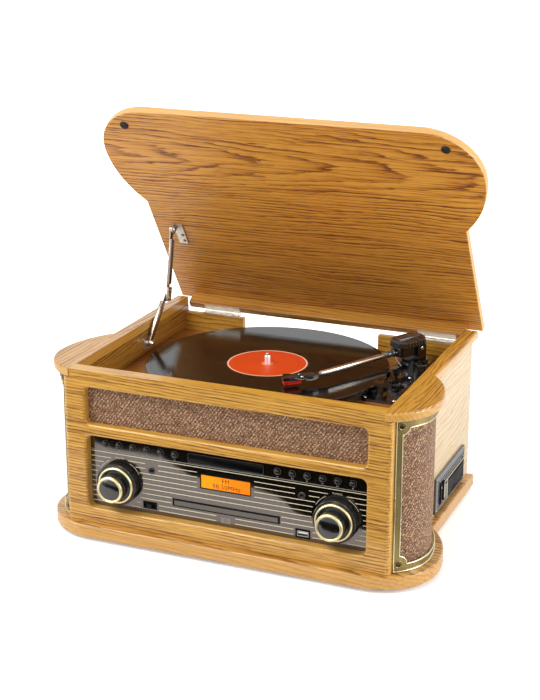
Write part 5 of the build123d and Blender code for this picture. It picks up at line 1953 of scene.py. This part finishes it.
@dataclass
class CassetteBay(SubAssembly):
    """Moulded bezel, keys and flap on the right wall."""

    face_x: float = 205.4
    key_face: Flat = (207.6, 207.66)
    border: tuple[tuple[Flat, Flat, float], ...] = (
        ((25.5, 63.0), (60.0, 62.0), 0.5), ((25.5, 27.5), (29.5, 62.0), 0.5),
        ((27.5, 63.5), (27.6, 29.4), 0.3), ((63.0, 137.0), (60.0, 62.0), 0.5),
    )
    shadow: tuple[tuple[Flat, Flat], ...] = (
        ((27.6, 137.0), (58.0, 60.0)), ((27.6, 29.2), (29.5, 58.0)), ((34.8, 41.4), (29.5, 58.0)),
        ((47.4, 65.0), (48.6, 52.0)), ((65.0, 137.0), (47.8, 52.2)), ((29.2, 34.8), (29.5, 32.0)),
    )
    # Cream strips: painted highlights on the edges inside the bay.
    trim: tuple[tuple[Flat, Flat], ...] = (
        ((47.6, 137.2), (52.0, 53.0)), ((63.0, 64.6), (26.6, 52.4)),
    )

    def strip(self, y: Flat, z: Flat, rise: float, sink: float = 0.0) -> tuple[Point, Point]:
        """Corners of a strip on the bezel's face."""
        return slab((self.face_x - sink, self.face_x + rise), y, z)

    def build(self) -> None:
        """Dress the bay and add its border, shadow strips, cream strips painted as edge
        highlights, screws and key marks.
        """
        # The bezel's grey is a painted reflection on black plastic.
        self.dress("bezel_sheen", "cassette_bezel")
        self.dress("flap_black", "cassette_flap", "cassette_key_stop", "cassette_key_wind")
        border = blocks("bay_border", [self.strip(y, z, rise, 0.2) for y, z, rise in self.border],
                        0.2)
        self.keep(border, "cabinet", "edge_grey_and_highlight", "cassette_black")
        well = blocks("bay_shadow", [self.strip(y, z, 0.08) for y, z in self.shadow])
        self.keep(well, "cabinet", "matte_black", "cassette_black")
        # Painted highlights on the edges inside the bay.
        trim = blocks("bay_edge_highlight", [self.strip(y, z, 0.35, 0.1) for y, z in self.trim], 0.12)
        self.keep(trim, "cabinet", "ink_cream", "cassette_black")
        self.keep_screws("bay_screws", 2.3, 0.6, [
            standing(Facing.RIGHT, place(self.face_x, y, z)) @ Matrix.Rotation(y + z, 4, "Z")
            for y in (20.0, 134.0) for z in (26.0, 66.4)
        ], "cabinet", "dark_chrome", "cassette_black")
        for name, key, y, z in (("key_marks", "key_stop", (31.0, 32.8), (52.0, 54.0)),
                                ("wind_marks", "key_wind", (43.4, 45.2), (34.5, 55.5))):
            mark = blocks(name, [slab(self.key_face, y, z)])
            self.keep(mark, key, "ink_cream", "cassette_black")


# The studio

WHITE = (1.0, 1.0, 1.0, 1.0)
TABLE_EDGE = (
    (-620.0, -540.0), (-420.0, -440.0), (-281.0, -396.0), (-242.0, -398.0), (-206.0, -394.0),
    (-172.0, -370.0), (-143.0, -350.0), (-66.0, -350.0), (-45.0, -344.0), (-14.0, -334.0),
    (8.0, -316.0), (25.0, -297.0), (45.0, -288.0), (90.0, -296.0), (121.0, -280.0),
    (260.0, -256.0),
    (900.0, -250.0), (900.0, -900.0), (-900.0, -900.0), (-900.0, -640.0),
)


@dataclass
class Studio:
    """Floor, light and camera."""

    focal_pixels: float = 1545.877
    width_pixels: float = 540.0
    sensor: float = 36.0
    camera_place: Point = (675.25, -1641.4, 799.5)
    yaw: float = 22.503
    pitch: float = -18.311
    roll: float = 0.055
    ambient: float = 0.36
    floor_glow: float = 0.3

    def camera(self) -> None:
        """Set the camera where the photograph was taken from."""
        data = bpy.data.cameras.new("camera")
        data.sensor_fit = "HORIZONTAL"
        data.sensor_width = self.sensor
        data.lens = self.focal_pixels * self.sensor / self.width_pixels
        data.clip_end = 50.0
        camera = bpy.data.objects.new("camera", data)
        bpy.context.scene.collection.objects.link(camera)
        yaw, pitch, roll = (math.radians(a) for a in (self.yaw, self.pitch, self.roll))
        ahead = Vector((-math.sin(yaw) * math.cos(pitch), math.cos(yaw) * math.cos(pitch),
                        math.sin(pitch)))
        level = Vector((math.cos(yaw), math.sin(yaw), 0.0))
        above = level.cross(ahead)
        right = level * math.cos(roll) + above * math.sin(roll)
        up = right.cross(ahead)
        turn = Matrix((right, up, -ahead)).transposed().to_4x4()
        camera.matrix_world = Matrix.Translation(place(*self.camera_place)) @ turn
        bpy.context.scene.camera = camera

    def floor(self) -> None:
        """White floor that keeps the object's soft shadow and fades into the backdrop."""
        all_deselected()
        bpy.ops.mesh.primitive_plane_add(size=14.0, location=(0, 0, -0.0002))
        ground = bpy.context.object
        ground.name = "floor"
        material, desk, shader = new_material("floor_paper")
        far = desk.smooth(desk.vector_maths("LENGTH", desk.here()).outputs["Value"], 0.45, 1.1)
        seen = desk.add("ShaderNodeLightPath").outputs["Is Camera Ray"]
        fill = desk.plus(desk.times(far, 0.9), self.floor_glow)
        desk.fill(shader, {
            "Base Color": desk.between(desk.noise(desk.here(), 300.0), paint("FFFFFF"),
                                       paint("FBFBFB")),
            "Roughness": 0.9, "Specular IOR Level": 0.1,
            "Emission Color": WHITE, "Emission Strength": desk.times(fill, seen),
        })
        ground.data.materials.append(material)

    def dark_card(self) -> None:
        """Black card on the floor beyond the table's curved edge, seen only in gloss."""
        card = raised("dark_card", TABLE_EDGE, 0.3)
        settle(card, Matrix.Translation((0, -MIDDLE_SHIFT * MM, 0.0004)))
        material, desk, shader = new_material("card_black")
        desk.fill(shader, {
            "Base Color": desk.between(desk.noise(desk.here(), 500.0), paint("100C08"),
                                       paint("18130E")),
            "Roughness": 1.0, "Specular IOR Level": 0.0,
        })
        card.data.materials.append(material)
        card.visible_camera = False
        card.visible_diffuse = False
        card.visible_shadow = False
        card.visible_transmission = False

    def world(self) -> None:
        """White surroundings for the camera and for gloss, softer light for the object."""
        world = bpy.data.worlds.new("studio")
        world.use_nodes = True
        desk = NodeDesk(world.node_tree)
        backdrop = world.node_tree.nodes["Background"]
        path = desk.add("ShaderNodeLightPath").outputs
        seen = desk.maths("MAXIMUM", path["Is Camera Ray"], path["Is Glossy Ray"])
        strength = desk.plus(desk.times(seen, 1.0 - self.ambient), self.ambient)
        desk.fill(backdrop, {"Color": WHITE, "Strength": strength})
        bpy.context.scene.world = world

    def lamp(self, name: str, spot: Point, aim: Point, size: Flat, power: float) -> None:
        """Add a soft box.

        Args:
            name: The lamp's name.
            spot: Where it hangs, in metres.
            aim: What it points at, in metres.
            size: Its width and height in metres.
            power: Its power in watts.
        """
        data = bpy.data.lights.new(name, "AREA")
        data.shape = "RECTANGLE"
        data.size, data.size_y = size
        data.energy = power
        lamp = bpy.data.objects.new(name, data)
        bpy.context.scene.collection.objects.link(lamp)
        lamp.location = spot
        lamp.rotation_euler = (Vector(aim) - Vector(spot)).to_track_quat("-Z", "Y").to_euler()

    def build(self) -> None:
        """Set up the studio."""
        self.camera()
        self.floor()
        self.dark_card()
        self.world()
        self.lamp("key", (-0.95, -1.15, 2.1), (0.0, 0.0, 0.12), (1.6, 1.1), 40.0)
        self.lamp("left_fill", (-1.9, -1.7, 0.9), (0.0, 0.0, 0.15), (0.9, 1.1), 15.0)
        self.lamp("right_side", (2.1, 0.1, 0.9), (0.15, 0.0, 0.12), (1.2, 1.4), 35.0)
        self.lamp("back_rim", (0.2, 2.0, 2.0), (0.0, 0.0, 0.2), (1.6, 0.8), 16.0)
        bpy.context.scene.view_settings.view_transform = "Standard"


def stocked_shelf() -> FinishShelf:
    """Build every finish."""
    shelf = FinishShelf()
    shelf.stock(
        OakFinish("oak_front", shift=(0.1, 0.21, 0.30), rings=270.0, waviness=0.03, broad=1),
        OakFinish("oak_base", shift=(0.32, 0.19, 0.04), waviness=0.045, slope=0.06, rings=210.0,
                  light="D8A453", middle="C28C3C", dark="784414"),
        # The side walls carry painted light outside and painted shade inside.
        OakFinish("oak_side", GrainAxis.ALONG_Y, (0.0, 0.3, 0.24), rings=230.0, slope=0.06,
                  broad=1, painted_wall_light_and_shade=True),
        OakFinish("oak_cap", GrainAxis.ALONG_Y, (0.2, 0.42, 0.1), rings=240.0, light="D4A04A"),
        OakFinish("oak_rear", shift=(0.6, 0.3, 0.2), rings=240.0, broad=1, lacquer=0.3,
                  lacquer_spread=0.35),
        OakFinish("oak_floor", shift=(0.2, 0.5, 0.1), light="B97C38", middle="9E6427",
                  dark="6A3D12"),
        # The lid's edges carry a painted highlight.
        OakFinish("oak_lid", GrainAxis.LID, (0.03, 0.348, -0.214), waviness=0.034, slope=0.055,
                  rings=205.0, painted_edge_highlight=0.28, light="E2A240", middle="D08C2E", dark="78380C",
                  gloss=0.36, lacquer=0.3, lacquer_spread=0.35),
        OakFinish("oak_batten", shift=(0.9, 0.3, 0.4), rings=240.0, broad=1, light="CB943A",
                  middle="B67C2A"),
        MouldedFinish("black_rubber", "161515", "242221", gloss=0.6, relief=0.2),
        MouldedFinish("mat_rubber", "101010", "1B1B1B", gloss=0.55, relief=0.2),
        MouldedFinish("driver_black", "0E0E0E", "1A1A1A", gloss=0.8, relief=0.3),
        MouldedFinish("gloss_black", "0F0C09", "120F0C", gloss=0.05, spread=0.03, relief=0.0,
                      coat=1.0, specular=1.0, tint="FFEBDC", index=1.7),
        MouldedFinish("plate_black", "060606", "090909", gloss=0.2, spread=0.05, relief=0.0,
                      specular=0.2),
        MouldedFinish("drawer_gloss", "0C0A08", "100D0B", gloss=0.1, spread=0.04, relief=0.0,
                      coat=1.0, specular=1.0, tint="FFEBDC", index=1.6),
        MouldedFinish("matte_black", "050505", "0A0A0A", gloss=0.75, relief=0.05, specular=0.15),
        MouldedFinish("contact_white", "F4F2EC", "E6E2D8", gloss=0.3, spread=0.1, relief=0.01),
        MouldedFinish("button_gloss", "050505", "0A0A0A", gloss=0.05, spread=0.05, relief=0.01,
                      coat=0.6),
        MouldedFinish("switch_black", "0C0C0C", "181818", gloss=0.3),
        MouldedFinish("knob_black", "0B0A09", "161412", gloss=0.2, spread=0.1, relief=0.03,
                      coat=0.3),
        MouldedFinish("knob_cap", "0B0A09", "100E0C", gloss=0.16, spread=0.03, relief=0.0,
                      coat=0.5, specular=0.9),
        MouldedFinish("moulded_black", "121212", "1D1D1D", gloss=0.38, relief=0.12),
        # Painted reflection: the bezel's black plastic painted mid grey.
        MouldedFinish("bezel_sheen", "48484A", "58585A", gloss=0.26, spread=0.1, relief=0.02,
                      coat=0.4),
        MouldedFinish("flap_black", "0A0A0B", "131314", gloss=0.5, spread=0.1, relief=0.05,
                      specular=0.2),
        MouldedFinish("inner_grey", "1C1C1D", "29292A", gloss=0.5, relief=0.15),
        MouldedFinish("arm_black", "111112", "1D1D1F", gloss=0.14, spread=0.1, relief=0.03,
                      coat=0.8, specular=0.8),
        # Lighter grey copy of the arm's black plastic: partly the small parts' own grey, partly a
        # painted highlight on the head's bar and ribs and the shell's ridges.
        MouldedFinish("arm_grey_and_highlight", "38383A", "4A4A4C", gloss=0.18, spread=0.1, relief=0.02,
                      coat=0.6),
        MouldedFinish("cartridge_red", "EE2A14", "D61F0C", gloss=0.22, spread=0.1, relief=0.04),
        MouldedFinish("jack_black", "101010", "242424", gloss=0.2, spread=0.1, relief=0.03),
        # Grey rims, lightened beyond their own grey as a painted highlight on the button rings,
        # jack rings, plate rim and bay border.
        MouldedFinish("edge_grey_and_highlight", "505051", "626263", gloss=0.16, spread=0.1, relief=0.02),
        MouldedFinish("ink_cream", "E6DCBC", "D2C7A4", gloss=0.35, spread=0.1, relief=0.02),
        MouldedFinish("ink_grey", "8B8780", "7A766F", gloss=0.35, spread=0.1, relief=0.02),
        MouldedFinish("digit_dark", "2A1002", "1E0C02", gloss=0.4, spread=0.1, relief=0.02),
        MouldedFinish("board_green", "153A1E", "1E4A28", gloss=0.45, relief=0.1),
        MetalFinish("brass_aged", "9C8C5C", "5F5330", gloss=0.34, spread=0.12,
                    brushed=(60.0, 60.0, 14.0)),
        # Paler copy of the frames' brass: painted highlight on the raised lips.
        MetalFinish("brass_painted_highlight", "E9DFBD", "C2B27E", gloss=0.2, spread=0.08, dulling=0.35),
        MetalFinish("screw_dark", "5C5338", "2E2A1E", gloss=0.3, spread=0.1),
        MetalFinish("gold_bright", "FBEFBE", "E8D38E", gloss=0.26, spread=0.05, relief=0.0,
                    dulling=0.3),
        MetalFinish("socket_metal", "CFCDC8", "8E8C88", gloss=0.25, spread=0.1),
        MetalFinish("chrome", "E4E3E0", "BEBDBA", gloss=0.06, spread=0.04, dulling=0.3),
        MetalFinish("tube_bright", "F2EEEA", "DCD6D0", gloss=0.16, spread=0.03, relief=0.0,
                    dulling=0.2),
        MetalFinish("stay_steel", "B9AA9C", "7C6C5E", gloss=0.16, spread=0.06, relief=0.0,
                    dulling=0.6),
        MetalFinish("spindle_bright", "FFFFFF", "F0EEEA", gloss=0.42, spread=0.04, relief=0.0,
                    dulling=0.3),
        MetalFinish("hinge_nickel", "E0DAD0", "B4ACA2", gloss=0.34, spread=0.04, relief=0.0,
                    dulling=0.35),
        MetalFinish("dark_chrome", "8E8B88", "4A4846", gloss=0.16, spread=0.06, relief=0.0),
        MetalFinish("drive_metal", "A9A8A5", "77756F", gloss=0.3, spread=0.12),
        ClothFinish("speaker_cloth"),
        DiscFinish("record_vinyl"),
        LabelFinish("label_paper"),
        GlowFinish("display_amber"),
    )
    return shelf


def main() -> None:
    """Build the studio and every sub-assembly in order."""
    logging.basicConfig(level=logging.INFO, format="%(name)s: %(message)s")
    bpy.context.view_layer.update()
    Studio().build()
    shelf = stocked_shelf()
    parts: list[SubAssembly] = [
        WoodCabinet(shelf),
        CornerColumns(shelf),
        FrontCloth(shelf),
        ControlFront(shelf),
        RotaryKnob(shelf, word="volume", x=-137.0),
        RotaryKnob(shelf, word="tuning", x=137.0),
        CassetteBay(shelf),
        Turntable(shelf),
        Tonearm(shelf),
        LidHardware(shelf),
    ]
    for part in parts:
        part.build()
        log.info("%s: %d pieces", type(part).__name__, len(part.pieces))
    all_deselected()


if __name__ == "__main__":
    main()
